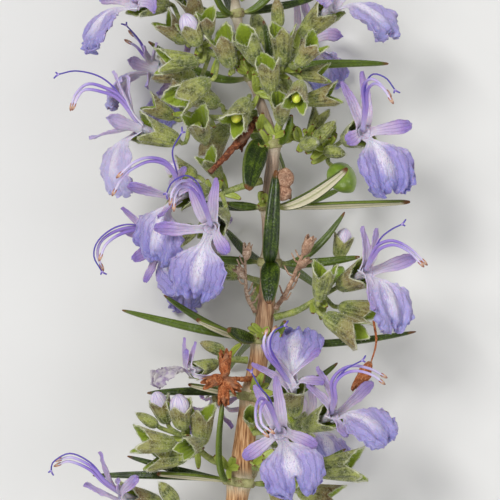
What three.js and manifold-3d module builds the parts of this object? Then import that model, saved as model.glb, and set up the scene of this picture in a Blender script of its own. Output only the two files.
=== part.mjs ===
// A flowering rosemary sprig, cut and laid on its side: a woody stem with whorls of needle leaves, racemes
// of two-lipped calyces, lilac blooms and a few dried remains. Millimetres, +Z up, +Y towards its tip.
import * as THREE from "three";
import { mergeVertices } from "three/addons/utils/BufferGeometryUtils.js";
import Module from "manifold-3d";

const wasm = await Module();
wasm.setup();

// Driving dimensions. The tables below are in the sprig's own frame, where the stem's axis is near z = 0.
const AXIS_HEIGHT = 12; // the stem's axis above the surface that the sprig lies on
const CENTRE = [-1.3, 2.68]; // the middle of the sprig's outline, in its own frame
const GAP = 0.1; // clearance between pieces that would touch
const BLADE = 0.66; // thickness of leaf blades and petals
const CALYX_LENGTH = 5.9; // with its teeth
const CALYX_TUBE = 3.9; // without them
const CALYX_RADIUS = 1.55; // at the rim
const CALYX_WALL = 0.5;
const BUD_LENGTH = 4.9;
const THROAT = 6.2; // from the calyx's base to the corolla's throat
const FILAMENT_RADIUS = 0.24; // stamens and style
const FRUIT_LENGTH = 4.4;
const PEDICEL_RADIUS = 0.3; // a calyx's stalk
const PEDUNCLE_RADIUS = 0.48; // a raceme's axis
const COLLAR_HEIGHT = 1.5; // a leaf whorl's ring round the stem
const COLLAR_WALL = 0.55;
const COLLAR_SIDES = 7;

const paint = (color, roughness) => new THREE.MeshStandardMaterial({ color, roughness, metalness: 0 });
const WOOD = paint(0x8a6244, 0.85);
const LEAF = paint(0x3f6a1c, 0.5);
const CALYX = paint(0x8b9a5f, 0.8);
const PETAL = paint(0xa79bd8, 0.6);
const DRIED = paint(0x9a6748, 0.9);

// --- The sprig's plan --------------------------------------------------------------------------------

// The stem's axis, from the cut end to the tip, and its radius there.
const STEM = [[-3.2, -40.5, -0.4], [-1.6, -30, 0], [-0.3, -20.4, 0], [1.4, -10.8, 0], [2.4, -1.2, 0],
  [2.3, 6, 0], [2.7, 12.6, 0], [0.9, 18.6, 0], [-0.9, 24.6, 0], [-1.8, 30, 0], [-1.4, 36, 0.2],
  [-0.4, 43, 0.4]];
const STEM_RADII = [1.4, 1.32, 1.25, 1.1, 1.0, 0.88, 0.8, 0.68, 0.6, 0.55, 0.5, 0.32];

// Leaf whorls, from the bottom up. Each leaf runs from the stem to a tip. Half is half its width, and face
// is where its upper side looks, if it isn't upwards.
const WHORLS = [
  { y: -34.5, leaves: [
    { to: [-12.6, -36.6, -3], half: 0.7 },
    { to: [8.8, -37.2, -2], half: 0.7 },
    { to: [-0.4, -28.6, -10.6], half: 0.75 },
  ] },
  { y: -27.8, leaves: [
    { to: [-3.2, -18, 4.2], half: 0.6 },
    { to: [-11.2, -26.8, 0.2], half: 0.75, face: [0, 1, -0.5] },
    { to: [-14.8, -24.8, -1.6], half: 0.55 },
    { to: [-19, -27.2, -2.4], half: 0.6 },
    { to: [11.6, -24, -3.4], half: 0.65 },
  ] },
  { y: -17.6, leaves: [
    { to: [-12.4, -17.2, -0.8], half: 0.6 },
    { to: [-7.4, -16, 3], half: 0.5, face: [0, 0.6, -1] },
    { to: [10.6, -13.6, -3], half: 0.6 },
    { to: [3.4, -13, -10.6], half: 0.75 },
  ] },
  { y: -10.8, leaves: [
    { to: [-15.4, -7.2, -0.4], half: 0.6 },
    { to: [-6.4, -8.2, 2.8], half: 0.75, face: [0, 1, -0.6] },
    { to: [-10.4, -5.4, -1.6], half: 0.55 },
    { to: [20, -9.8, -1], half: 0.55 },
    { to: [-2.6, -9.4, 6.2], half: 1.0 },
    { to: [4.2, -8.4, 3.4], half: 0.65 },
    { to: [-2.6, -14.6, -11.4], half: 0.75 },
  ] },
  { y: -1.5, leaves: [
    { to: [-7.2, -1, 0.4], half: 0.6 },
    { to: [13.2, -0.8, 0.4], half: 0.65 },
    { to: [2.2, -6.4, 5.4], half: 1.4 },
    { to: [2.3, 9, 2.5], half: 0.85 },
    { to: [11.4, 4.6, -0.6], half: 0.55 },
    { to: [-3, 2.6, -11], half: 0.7 },
    { to: [8.4, -4.6, -10.4], half: 0.7 },
  ] },
  { y: 5.2, leaves: [
    { to: [19.2, 5.8, 1.2], half: 0.75, face: [0, 1, -0.6] },
    { to: [11.6, 9.8, 4.4], half: 0.95, face: [-0.4, 0.6, -1] },
    { to: [-2.8, 5.6, 0.8], half: 0.6 },
    { to: [-7.2, 5.8, -8.2], half: 0.65 },
    { to: [11, 7.4, -8.4], half: 0.65 },
  ] },
  { y: 12.7, leaves: [
    { to: [-0.6, 7.1, 4], half: 1.45 },
    { to: [4.9, 16.2, 2.4], half: 0.6 },
    { to: [5, 6.2, -10.4], half: 0.75 },
    { to: [-1.6, 17.4, -10.2], half: 0.7 },
  ] },
  { y: 20.9, leaves: [
    { to: [16.7, 22.4, -1], half: 0.65 },
    { to: [-12.4, 25.4, -7], half: 0.65 },
    { to: [1.6, 27.6, -0.8], half: 0.6 },
    { to: [-2.4, 26.8, -9.8], half: 0.7 },
  ] },
  { y: 28.4, leaves: [
    { to: [-5, 33.4, 2.6], half: 0.55 },
    { to: [4.6, 34.4, 0.8], half: 0.6 },
    { to: [-10.6, 31.8, -2.4], half: 0.6 },
    { to: [-4, 34, -7.6], half: 0.6 },
    { to: [7.8, 30.4, -4.4], half: 0.6 },
  ] },
  { y: 35.4, leaves: [
    { to: [-7.4, 39.6, 1.2], half: 0.6 },
    { to: [5.2, 39.4, 0.4], half: 0.6 },
    { to: [-2.4, 41.6, 4.2], half: 0.55 },
    { to: [0.6, 41.4, -4.8], half: 0.55 },
  ] },
  { y: 40.4, leaves: [
    { to: [-4.2, 44.8, 1.2], half: 0.5 },
    { to: [2.8, 45.2, 0.6], half: 0.5 },
    { to: [-0.8, 46, 2.2], half: 0.45 },
    { to: [-0.4, 45.4, -2], half: 0.45 },
  ] },
];

// Racemes. Each has an axis that leaves the stem, with open calyces, closed buds, green fruits and blooms,
// from a calyx's base to its tip, or to the corolla's throat. Up is where a bloom's upper lip is. Lift
// raises its lower lip, in radians.
const RACEMES = {
  raceme_left_upper: {
    axis: [[0.8, 16.4, 0.8], [-3.4, 15.8, 2], [-7, 16.2, 2.2]],
    open: [
      { from: [-5.4, 13, 2.4], to: [-6.6, 16.2, 6.4] },
      { from: [-9, 15.8, 0.8], to: [-12.6, 17.8, 1.6] },
      { from: [-0.3, 18, 2.4], to: [-2.3, 14.3, 5.9] },
    ],
    buds: [{ from: [-8.2, 17.2, 2.2], to: [-9.2, 20.4, 2.2] }],
    blooms: {
      bloom_05: { from: [-8.4, 13, 2.2], to: [-13.9, 14.7, 4.4], up: [0, 1, 0], lift: 0.1 },
    },
  },
  raceme_left_top: {
    axis: [[-1.1, 22.3, 0.7], [-4.6, 23.6, 1.2], [-8, 26.4, 1.2]],
    open: [
      { from: [-6.2, 22.6, 2], to: [-11.4, 22.4, 3.2] },
      { from: [-4.8, 20.2, 4], to: [-9.4, 17.3, 6.4] },
      { from: [-2.2, 21.8, 2.4], to: [-3.8, 26.2, 5] },
      { from: [-4.9, 25.6, 3], to: [-5.2, 28.4, 5.6] },
      { from: [-7.6, 24.8, 1.4], to: [-10.8, 27.8, 3] },
    ],
    buds: [{ from: [-6.2, 24.4, 3.2], to: [-7.8, 28, 5.2] }],
    blooms: {
      bloom_01: { from: [-9.8, 29.4, 0], to: [-14.2, 29.4, 4], up: [0.2, 1, 0], lift: 0.4 },
      bloom_02: { from: [-5.8, 27.2, 0.2], to: [-7.8, 31, 2.4], up: [0.4, 0.5, -0.7], lift: 0.5 },
      bloom_04: { from: [-6.6, 20.8, -1.6], to: [-11.8, 21.8, -2.4], up: [0.1, 1, -0.1], lift: 0.9 },
    },
  },
  raceme_right_top: {
    axis: [[1.3, 19.7, 0.9], [3.8, 21.2, 1.8], [5.6, 24, 1.8]],
    open: [
      { from: [1, 22.2, 2.8], to: [-1, 26, 5.8] },
      { from: [3.9, 22, 2.4], to: [3.8, 27, 4] },
      { from: [2.6, 18.6, 3.4], to: [1.9, 23, 5.8] },
      { from: [3.7, 15.2, 2.2], to: [3.8, 18.4, 5.2] },
      { from: [6, 20, 3.8], to: [5.3, 16.8, 7.4] },
      { from: [6.4, 17.8, 1.4], to: [10.8, 18.7, 2.6] },
      { from: [5.8, 21, 2.2], to: [9.6, 21, 3.4] },
      { from: [5.6, 22, 5.2], to: [8.2, 25, 7.6] },
    ],
    buds: [{ from: [3.4, 26.6, 0.6], to: [3.2, 30.2, 1.6] }],
    blooms: {
      bloom_03: { from: [6.2, 25.6, 1.8], to: [10.2, 29.4, 4.6], up: [-0.6, 1, 0], lift: 0.3 },
    },
  },
  raceme_right_upper: {
    axis: [[3.2, 14.2, -0.4], [6.4, 13.2, -0.2], [9.8, 12.2, 0]],
    open: [{ from: [7.2, 13.8, 0.6], to: [8.8, 17.2, 0.2] }],
    buds: [
      { from: [7.8, 13, 1.2], to: [10.2, 15.4, 3] },
      { from: [6.4, 12.6, 1], to: [8, 12.8, 4.6] },
      { from: [9, 12, 0.6], to: [11.4, 11.4, 3.2] },
    ],
    fruits: [{ from: [9.8, 10.2, -1], to: [12.4, 7, -0.6] }],
    blooms: {
      bloom_08: { from: [11.4, 13.2, -0.8], to: [13.8, 14.1, 4.9], up: [-0.22, 1, 0], lift: 0 },
    },
  },
  raceme_left_middle: {
    axis: [[1.4, 8.3, 0.6], [-1.6, 7.4, 1.4], [-4.4, 6.4, 1.2]],
    open: [{ from: [-3.6, 8.6, 1.6], to: [-5.4, 11.6, 4] }],
    buds: [{ from: [-6.4, 8.8, -0.4], to: [-10.2, 10.2, 0] }],
    blooms: {
      bloom_06: { from: [-5.2, 7.2, 1.6], to: [-9.2, 6.3, 6], up: [0.35, 1, 0], lift: 0 },
      bloom_07: { from: [-3, 4.4, 4], to: [-4.9, 2.4, 9.6], up: [0.1, 1, 0.35], lift: 0 },
      bloom_09: { from: [-6.6, 2.6, -3.6], to: [-10.4, 0.9, 0.2], up: [-0.9, 0.4, -0.2], lift: 0.2 },
    },
  },
  raceme_right_middle: {
    axis: [[2.9, -8.1, 0.8], [5.8, -7.2, 1], [8.8, -5.4, 0.8]],
    open: [
      { from: [8.2, -6, 3], to: [9, -1.6, 5] },
      { from: [8.8, -7.8, 2.4], to: [13.8, -10.6, 4.2] },
      { from: [10.6, -6.8, 0.4], to: [15.4, -7.6, 1.4] },
    ],
    buds: [{ from: [10.6, -1, -2.6], to: [11.6, 2.6, -2.2] }],
    fruits: [{ from: [10, -3.8, -1], to: [11.2, -2, -1.2] }],
    blooms: {
      bloom_10: { from: [10.6, -4.4, 1.2], to: [14.3, -2.4, 5.6], up: [-0.15, 1, 0], lift: 0.1 },
    },
  },
  raceme_front_lower: {
    axis: [[0.4, -21.8, 1.4], [2.6, -21.6, 2.2], [5, -21, 2.2]],
    open: [{ from: [0.2, -20.8, 1.9], to: [0.1, -19.4, 5] }],
    blooms: {
      bloom_11: { from: [5.4, -19.8, 1.8], to: [4.9, -15.6, 5.4], up: [-0.9, 0.3, 0.1], lift: 0.7 },
      bloom_12: { from: [2.8, -21.6, 4.8], to: [3.6, -21.5, 10.8], up: [-0.25, 1, 0], lift: 0.1 },
      bloom_13: { from: [6.6, -21.2, 1], to: [10.3, -19.4, 5.2], up: [-0.45, 1, 0.1], lift: 0.5 },
    },
  },
  raceme_left_lower: {
    axis: [[-2.5, -26, 1], [-5, -24.8, 1.6], [-7.6, -22.4, 1.6]],
    open: [
      { from: [-8.8, -23.2, 3.8], to: [-14, -22.5, 5.2] },
      { from: [-5.8, -22.8, 4.4], to: [-8, -23.6, 8] },
      { from: [-7.4, -24.6, 1.4], to: [-12.8, -25, 2.4] },
      { from: [-5.8, -23.4, 1.4], to: [-5.7, -18.4, 3.2] },
    ],
    buds: [
      { from: [-9.8, -20.8, 0.2], to: [-11.4, -17, 0.8] },
      { from: [-8, -21.4, 2.6], to: [-8.6, -17.2, 4.4] },
      { from: [-11, -21, 3], to: [-13.6, -19.4, 3.8] },
    ],
  },
  raceme_right_bottom: {
    axis: [[0.3, -25.9, 1.1], [3, -26.4, 1.6], [6.4, -26.8, 1.4]],
    open: [
      { from: [7.4, -26.2, 2.8], to: [13.8, -25.6, 4.4] },
      { from: [5.6, -28.8, 1.2], to: [11.2, -30, 1.6] },
      { from: [2.6, -28, 2.6], to: [4.4, -31, 5.4] },
    ],
  },
  raceme_left_bottom: {
    axis: [[-3.3, -31.4, 0.7], [-7, -31.4, 1.2], [-9.6, -30.8, 1]],
    open: [{ from: [-9, -32.2, 1.2], to: [-12.2, -35.8, 2] }],
    buds: [{ from: [-8.8, -30.4, 2.2], to: [-10.8, -27.6, 4.6] }],
    blooms: {
      bloom_14: { from: [-10.6, -30.4, 0.4], to: [-15.9, -29.4, 3.2], up: [-0.1, 1, -0.15], lift: 0.1 },
    },
  },
  raceme_left_withered: {
    axis: [[-0.3, -13.2, 1.1], [-2, -13.1, 1.4], [-3.6, -13.4, 1]],
    buds: [{ from: [-3, -12.2, 2], to: [-6, -11, 3] }],
    blooms: {
      bloom_15: { from: [-3.8, -13.4, 2.2], to: [-7.2, -14.6, 4.2], up: [0, 1, 0.2], lift: 0.8 },
      bloom_16: { from: [-2.8, -15, -1.6], to: [-4.2, -18.6, -3.2], up: [0.6, -0.3, -0.7], lift: 0.3 },
    },
  },
  raceme_back_upper: {
    axis: [[0.3, 23, -1], [1.6, 23.2, -3], [2.8, 23.8, -4.4]],
    open: [{ from: [2.6, 22.2, -4.4], to: [4.4, 18.8, -8] }],
    buds: [{ from: [1.6, 25.2, -3.8], to: [0.4, 29, -6.4] }],
    blooms: {
      bloom_17: { from: [3.2, 24, -4.6], to: [6.6, 25.4, -8.8], up: [-0.2, 1, 0.2], lift: 0.2 },
    },
  },
  raceme_back_left: {
    axis: [[1.3, 15.6, -0.8], [-1.2, 16, -2.8], [-3.2, 16.8, -4]],
    open: [{ from: [-2.8, 15.2, -4.2], to: [-5.2, 12, -8] }],
    blooms: {
      bloom_18: { from: [-3.8, 17.6, -4.2], to: [-7.6, 19.4, -7.8], up: [0.2, 1, 0.2], lift: 0.3 },
    },
  },
  raceme_back_lower: {
    axis: [[2.2, -3.9, -1.4], [1, -3.7, -3.4], [-0.6, -3.2, -4.8]],
    open: [{ from: [0.8, -4.9, -4.6], to: [2.2, -7.9, -8.6] }],
    blooms: {
      bloom_19: { from: [-1.2, -3, -5], to: [-5, -1.8, -8.8], up: [0.2, 1, 0.2], lift: 0.2 },
    },
  },
  raceme_back_bottom: {
    axis: [[-0.5, -23.4, -1.6], [1.2, -23.2, -3.4], [3, -22.6, -4.6]],
    open: [{ from: [1, -24.4, -4.6], to: [-0.8, -27.2, -8.4] }],
    blooms: {
      bloom_20: { from: [3.4, -22.6, -5], to: [7.2, -21.4, -8.8], up: [-0.2, 1, 0.2], lift: 0.2 },
    },
  },
  raceme_tip_right: {
    axis: [[-1.2, 30.1, 0.8], [0.6, 31.4, 1.4], [2, 33, 1.8]],
    open: [{ from: [2, 33.4, 2.2], to: [3.8, 37.6, 4.2] }],
    buds: [{ from: [0, 32.4, 2], to: [-0.6, 36.2, 4.4] }],
  },
  raceme_tip_left: {
    axis: [[-2.7, 30.4, -0.1], [-4.4, 32, -1.4], [-5.2, 34.4, -2]],
    open: [{ from: [-5.8, 34.6, -1.8], to: [-9, 38.2, -2] }],
    buds: [{ from: [-4.8, 35.4, -2.2], to: [-4.4, 39.4, -3.4] }],
  },
};

// Dried remains: each a twig that leaves the stem, with shrivelled calyces or lobes along it.
const DRIED_REMAINS = {
  dried_twig: {
    axis: [[0.9, 15.6, 1.3], [-1.6, 12.6, 3.6], [-4.8, 9.2, 5]],
    radius: 0.5,
    husks: [{ from: [-0.2, 14.4, 2.2], to: [-1.4, 12.4, 1.6] }],
  },
  dead_raceme_left: {
    axis: [[0.6, -7.4, 1], [-0.4, -5.2, 2], [-0.6, -0.4, 2.4]],
    radius: 0.34,
    husks: [
      { from: [-0.6, -3.4, 2.2], to: [-2.2, -1.4, 2.6] },
      { from: [-0.5, -1.2, 2.4], to: [0.1, 0.6, 3] },
    ],
  },
  dead_raceme_right: {
    axis: [[3.1, -7, 0.9], [4.6, -4.6, 2], [6.6, 0.2, 2.4]],
    radius: 0.36,
    husks: [
      { from: [6.4, -0.6, 2.4], to: [7.4, 1.6, 2.8] },
      { from: [4.8, -4, 2], to: [3.9, -2.6, 2.2] },
    ],
  },
  shrivelled_bloom: {
    axis: [[0.2, -15.4, 1.2], [-1.4, -15.4, 3], [-3.2, -15.2, 4.2]],
    radius: 0.34,
    husks: [
      { from: [-3, -15.2, 4], to: [-3, -12.4, 5.2] },
      { from: [-3.2, -15.2, 4.2], to: [-5.2, -15.8, 5.6] },
      { from: [-3, -15.2, 4], to: [-3.2, -18, 4.8] },
      { from: [-3, -15.2, 4], to: [-1.6, -16.6, 5] },
    ],
  },
  dried_fruits: {
    axis: [[2.9, 7.4, 0.8], [3.6, 7.6, 1.4], [4, 7.8, 1.8]],
    radius: 0.36,
    husks: [
      { from: [4, 7.4, 1.6], to: [4.3, 9.8, 2.4], width: 1.9 },
      { from: [3.8, 7.8, 1.5], to: [3.9, 5.9, 2], width: 1.9 },
    ],
  },
};

// --- Closed solids -----------------------------------------------------------------------------------

const vec = (p) => new THREE.Vector3(...p);
const route = (points) => new THREE.CatmullRomCurve3(points.map(vec), false, "centripetal");
const join = (solids) => solids.reduce((whole, next) => whole.add(next));

/** The geometry, with its vertices merged, as a solid that can be joined and cut. */
function solid(geometry) {
  geometry.deleteAttribute("normal");
  geometry.deleteAttribute("uv");
  const merged = mergeVertices(geometry, 1e-4);
  const vertProperties = new Float32Array(merged.attributes.position.array);
  const triVerts = new Uint32Array(merged.index.array);
  return new wasm.Manifold(new wasm.Mesh({ numProp: 3, vertProperties, triVerts }));
}

/** Moves every vertex of a geometry by a function of its place. */
function warp(geometry, move) {
  const at = geometry.attributes.position;
  for (let i = 0; i < at.count; i += 1) {
    const { x, y, z } = move(new THREE.Vector3().fromBufferAttribute(at, i));
    at.setXYZ(i, x, y, z);
  }
  return geometry;
}

/** A cylinder laid along a curve. ring(t, angle) is its section's corner, sideways and towards face. */
function along(curve, face, sides, steps, ring) {
  return solid(
    warp(new THREE.CylinderGeometry(1, 1, 1, sides, steps), (v) => {
      const t = 0.5 - v.y;
      const tangent = curve.getTangent(t);
      const up = vec(face).addScaledVector(tangent, -tangent.dot(vec(face))).normalize();
      const side = up.clone().cross(tangent);
      const onRing = Math.round(Math.hypot(v.x, v.z));
      const [s, u] = ring(t, Math.atan2(v.x, v.z));
      return curve.getPoint(t).addScaledVector(side, s * onRing).addScaledVector(up, u * onRing);
    }),
  );
}

const UPWARDS = [0.11, 0.13, 1]; // nearly, so that it is along no limb

/** A round limb along a curve, with its radius at t. */
function limb(curve, radius, sides, steps) {
  return along(curve, UPWARDS, sides, steps, (t, a) => [Math.sin(a) * radius(t), Math.cos(a) * radius(t)]);
}

/** A blade along a curve. Section lists its corners, from the middle of its upper face round by a margin. */
function blade(curve, face, halfWidth, steps, section) {
  return along(curve, face, section.length, steps, (t, angle) => {
    const corner = Math.round((angle / (2 * Math.PI)) * section.length);
    const [s, u] = section.at(corner % section.length);
    return [s * halfWidth(t), u * BLADE];
  });
}

/** A solid turned about the z axis from its profile, a list of [radius, z] that runs up its outside. */
function turned(profile, sides, move = (v) => v) {
  const points = profile.map(([radius, z]) => new THREE.Vector2(radius, z));
  return solid(warp(new THREE.LatheGeometry(points, sides).rotateX(Math.PI / 2), move));
}

// --- Leaves ------------------------------------------------------------------------------------------

// A leaf's section: a groove along its face, and margins that roll under.
const LEAF_SECTION = [[0, 0.42], [0.9, 0.5], [0.85, -0.5], [-0.85, -0.5], [-0.9, 0.5]];

/** One needle leaf, narrow at its base and blunt at its tip. It leaves the stem squarely, then bends up. */
function leaf(bar, { to, half, face = [0, 0.15, 1] }) {
  const tip = vec(to);
  const axis = bar.getTangent(0);
  const centre = bar.getPoint(0.5);
  const away = tip.clone().sub(centre);
  away.addScaledVector(axis, -axis.dot(away)).normalize();
  const root = centre.addScaledVector(away, bar.radius + 0.4 * COLLAR_WALL);
  const bend = root.clone().addScaledVector(away, 0.35 * tip.distanceTo(root));
  const curve = new THREE.QuadraticBezierCurve3(root, bend, tip);
  return blade(curve, face, (t) => half * (0.35 + 2.1 * t - 2.15 * t ** 2), 3, LEAF_SECTION);
}

// --- Calyx and corolla, in a flower's frame: +Z along its axis, +Y towards its upper lip --------------

/** The matrix of a flower's frame, for a flower of the given length from its base to its tip. */
function flowerFrame({ from, to, up }, length) {
  const z = vec(to).sub(vec(from));
  const size = z.length() / length;
  z.normalize();
  const x = vec(up ?? [-0.25 * from[0], 1, -0.25 * from[2]]).cross(z).normalize();
  const turn = new THREE.Matrix4().makeBasis(x, z.clone().cross(x), z);
  return turn.scale(new THREE.Vector3(size, size, size)).setPosition(...from);
}

/** A calyx on its stalk, whose lowest ring is moved to the stalk's foot, a point in the flower's frame. */
function stalked(profile, sides, foot, move = (v) => v) {
  const stalk = [[0, -1], [PEDICEL_RADIUS, -1]];
  return turned([...stalk, ...profile], sides, (v) => (v.z < 0 ? v.setZ(0).add(foot) : move(v)));
}

// How far an open calyx's rim rises, from the upper lip's tooth to the lower side, by eighths of a turn.
const TEETH = [CALYX_LENGTH - CALYX_TUBE, 1.1, 0, 2, 0.3];

/** An open calyx: a bell with one broad upper tooth and two pointed lower ones. */
function openCalyx(foot) {
  const inner = CALYX_RADIUS - CALYX_WALL;
  const profile = [[0.95, 0.7], [CALYX_RADIUS, CALYX_TUBE], [inner, CALYX_TUBE], [0, 1.3]];
  return stalked(profile, 8, foot, (v) => {
    if (Math.abs(v.z - CALYX_TUBE) > 0.01) return v;
    const rise = TEETH[Math.round(Math.abs(Math.atan2(v.x, v.y)) / (Math.PI / 4))];
    return new THREE.Vector3(v.x * (1 + 0.12 * rise), v.y * (1 + 0.12 * rise), v.z + rise);
  });
}

const budCalyx = (foot) => stalked([[1.05, 1.3], [0.85, 3.8], [0, BUD_LENGTH]], 6, foot);
const fruitCalyx = (foot) => stalked([[1.45, 0.9], [1.75, 2.4], [1.2, 3.8], [0, FRUIT_LENGTH]], 7, foot);

/** A closed mesh that is put together ring by ring, as its parts grow out of one another. */
class Growth {
  points = [];
  faces = [];

  ring(points) {
    this.points.push(...points);
    return points.map((_, i) => this.points.length - points.length + i);
  }

  /** Joins two rings of as many points, which turn anticlockwise as seen from the second's side. */
  bridge(a, b) {
    a.forEach((_, i) => {
      const j = (i + 1) % a.length;
      this.faces.push(a[i], a[j], b[i], a[j], b[j], b[i]);
    });
    return b;
  }

  /** Closes a ring with a fan from its first point. */
  close(ring) {
    for (let i = 2; i < ring.length; i += 1) this.faces.push(ring[0], ring[i - 1], ring[i]);
  }

  solid() {
    return solid(new THREE.BufferGeometry().setFromPoints(this.points).setIndex(this.faces));
  }
}

const PETALS = 5; // round the throat: an ear, a side lobe, the lower lip, a side lobe and an ear
const COLUMNS = [-1, -0.5, 0, 0.5, 1]; // across the lower lip
const LIP_HALF_WIDTHS = [1.5, 3.7, 2.3]; // along it
const HINGE = new THREE.Vector3(0, -0.4, 5.7); // where the lower lip is raised about

/** A ring round the corolla's axis, anticlockwise as seen from in front and from the top. */
function roundAxis(growth, radius, z) {
  const angles = Array.from({ length: PETALS }, (_, i) => (2 * Math.PI * i) / PETALS);
  return growth.ring(angles.map((a) => new THREE.Vector3(-radius * Math.sin(a), radius * Math.cos(a), z)));
}

/** A strap-shaped petal that grows from four points, with its face forwards. */
function growStrap(growth, root, points, halfWidths) {
  const curve = route(points);
  let last = root;
  halfWidths.forEach((half, i) => {
    const t = (i + 1) / halfWidths.length;
    const tangent = curve.getTangent(t);
    const normal = new THREE.Vector3(0, 0, 1).addScaledVector(tangent, -tangent.z).normalize();
    const side = normal.clone().cross(tangent);
    const corner = ([s, n]) =>
      curve.getPoint(t).addScaledVector(side, s * half).addScaledVector(normal, (n * BLADE) / 2);
    last = growth.bridge(last, growth.ring([[-1, -1], [1, -1], [1, 1], [-1, 1]].map(corner)));
  });
  growth.close(last);
}

/** A stamen or the style, which grows from a triangle and thins towards its tip. */
function growThread(growth, root, points) {
  const curve = route(points);
  const steps = 4;
  const centre = root.reduce((sum, i) => sum.add(growth.points[i]), new THREE.Vector3()).divideScalar(3);
  const start = growth.points[root[0]].clone().sub(centre);
  const first = Math.atan2(start.y, start.x);
  let last = root;
  for (let i = 1; i <= steps; i += 1) {
    const t = i / steps;
    const tangent = curve.getTangent(t);
    const side = new THREE.Vector3(1, 0, 0).addScaledVector(tangent, -tangent.x).normalize();
    const up = tangent.clone().cross(side);
    const radius = FILAMENT_RADIUS * (1.3 - 0.5 * t);
    const angles = [0, 1, 2].map((k) => first + (2 * Math.PI * k) / 3);
    const corner = (a) => {
      const out = side.clone().multiplyScalar(Math.cos(a)).addScaledVector(up, Math.sin(a));
      return curve.getPoint(t).addScaledVector(out, radius);
    };
    last = growth.bridge(last, growth.ring(angles.map(corner)));
  }
  growth.close(last);
}

/** Fills both faces of the lip between the row nearer the throat and the next one. */
function growRow(growth, [fronts, backs], [front, back]) {
  for (let i = 0; i < COLUMNS.length - 1; i += 1) {
    growth.faces.push(fronts[i], front[i], fronts[i + 1], fronts[i + 1], front[i], front[i + 1]);
    growth.faces.push(backs[i], backs[i + 1], back[i], backs[i + 1], back[i + 1], back[i]);
  }
}

/** The lip's two margins between one row and the next. */
function growMargins(growth, [fronts, backs], [front, back]) {
  growth.faces.push(fronts[0], backs[0], front[0], backs[0], back[0], front[0]);
  const [a, b, c, d] = [fronts.at(-1), backs.at(-1), front.at(-1), back.at(-1)];
  growth.faces.push(a, c, b, b, c, d);
}

/** The lower lip's middle lobe: a narrow claw that widens into a waved, drooping fan. */
function growLip(growth, [backLeft, backRight, frontRight, frontLeft], lift) {
  const spine = route([[0, -0.9, 6], [0, -1.7, 7.4], [0, -3.8, 8.5], [0, -6.3, 8.7], [0, -8.1, 7.9]]);
  const rows = LIP_HALF_WIDTHS.map((wide, row) => {
    const v = (row + 1) / LIP_HALF_WIDTHS.length;
    const normal = new THREE.Vector3(1, 0, 0).cross(spine.getTangent(v).negate());
    const place = (u, side) => {
      const wave = -0.28 * v * Math.cos(2 * Math.PI * u);
      const fold = new THREE.Vector3(u * wide, -0.35 * v * (1 - Math.abs(u)), wave);
      const flat = spine.getPoint(v).add(fold).addScaledVector(normal, (side * BLADE) / 2);
      return flat.sub(HINGE).applyAxisAngle(new THREE.Vector3(1, 0, 0), -lift).add(HINGE);
    };
    return [1, -1].map((side) => growth.ring(COLUMNS.map((u) => place(u, side))));
  });
  const [front, back] = rows[0];
  growth.close([frontLeft, front[0], front[1], front[2], frontRight]);
  growth.close([frontRight, front[2], front[3], front[4]]);
  growth.close([backLeft, backRight, back[2], back[1], back[0]]);
  growth.close([backRight, back[4], back[3], back[2]]);
  growMargins(growth, [[frontLeft, frontRight], [backLeft, backRight]], rows[0]);
  rows.slice(1).forEach((row, i) => {
    growRow(growth, rows[i], row);
    growMargins(growth, rows[i], row);
  });
  const [edge, under] = rows.at(-1);
  for (let i = 0; i < COLUMNS.length - 1; i += 1) {
    growth.faces.push(edge[i], under[i], edge[i + 1], edge[i + 1], under[i], under[i + 1]);
  }
}

/** A bloom: the corolla's tube, two ears, two side lobes and lower lip, with two stamens and the style. */
function bloom(lift, stamens) {
  const growth = new Growth();
  const levels = [[0.22, 2.8], [0.6, 4], [0.85, 5.6], [0.95, THROAT]];
  const [base, waist, back, front] = levels.map(([radius, z]) => roundAxis(growth, radius, z));
  growth.close([...base].reverse());
  growth.bridge(base, waist);
  growth.bridge(waist, back);

  const root = (i) => [back[i], back[(i + 1) % PETALS], front[(i + 1) % PETALS], front[i]];
  for (const [s, earAt, lobeAt] of [[-1, 0, 1], [1, 4, 3]]) {
    const ear = [[s * 0.5, 0.7, 5.9], [s * 0.95, 2.8, 7], [s * 1.3, 5, 6.9], [s * 2, 7, 6]];
    const lobe = [[s * 0.9, -0.2, 5.9], [s * 2.6, 0.3, 7.2], [s * 4.1, 0.4, 7.3], [s * 5.4, 0, 6.8]];
    growStrap(growth, root(earAt), ear, [0.75, 0.95, 0.55]);
    growStrap(growth, root(lobeAt), lobe, [0.95, 1.05, 0.6]);
  }
  growLip(growth, root(2), lift);

  const [cup, brow] = growth.ring([new THREE.Vector3(0, -0.1, 5.8), new THREE.Vector3(0, 0.4, 6)]);
  const stamen = (s) => [[s * 0.3, 0.5, 6.1], [s * 0.35, 3, 8.2], [s * 0.45, 5.2, 10], [s * 0.6, 2.8, 13.2]];
  const style = [[0, 0.2, 6.1], [0, 3, 8.8], [0, 6, 11], [0, 6.2, 14.8]];
  const threads = [
    [[brow, front[0], front[1]], stamen(-1)],
    [[brow, front[4], front[0]], stamen(1)],
    [[cup, brow, front[1]], style],
  ];
  for (const [triangle, points] of threads) {
    if (stamens) growThread(growth, triangle, points);
    else growth.close(triangle);
  }
  growth.close([cup, front[4], brow]);
  growth.close([cup, front[1], front[2], front[3], front[4]]);
  return growth.solid();
}

// --- Assembly ----------------------------------------------------------------------------------------

const sprig = new THREE.Group();
sprig.position.set(-CENTRE[0], -CENTRE[1], AXIS_HEIGHT);
const placed = [];

const floor = solid(new THREE.BoxGeometry(200, 200, 40).translate(0, 0, -AXIS_HEIGHT - 20));

/** The solid with copies of itself a gap away on each side, to cut a clearance with. */
function grown(piece) {
  const steps = [[GAP, 0, 0], [-GAP, 0, 0], [0, GAP, 0], [0, -GAP, 0], [0, 0, GAP], [0, 0, -GAP]];
  return join(steps.map((step) => piece.translate(step)));
}

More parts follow.
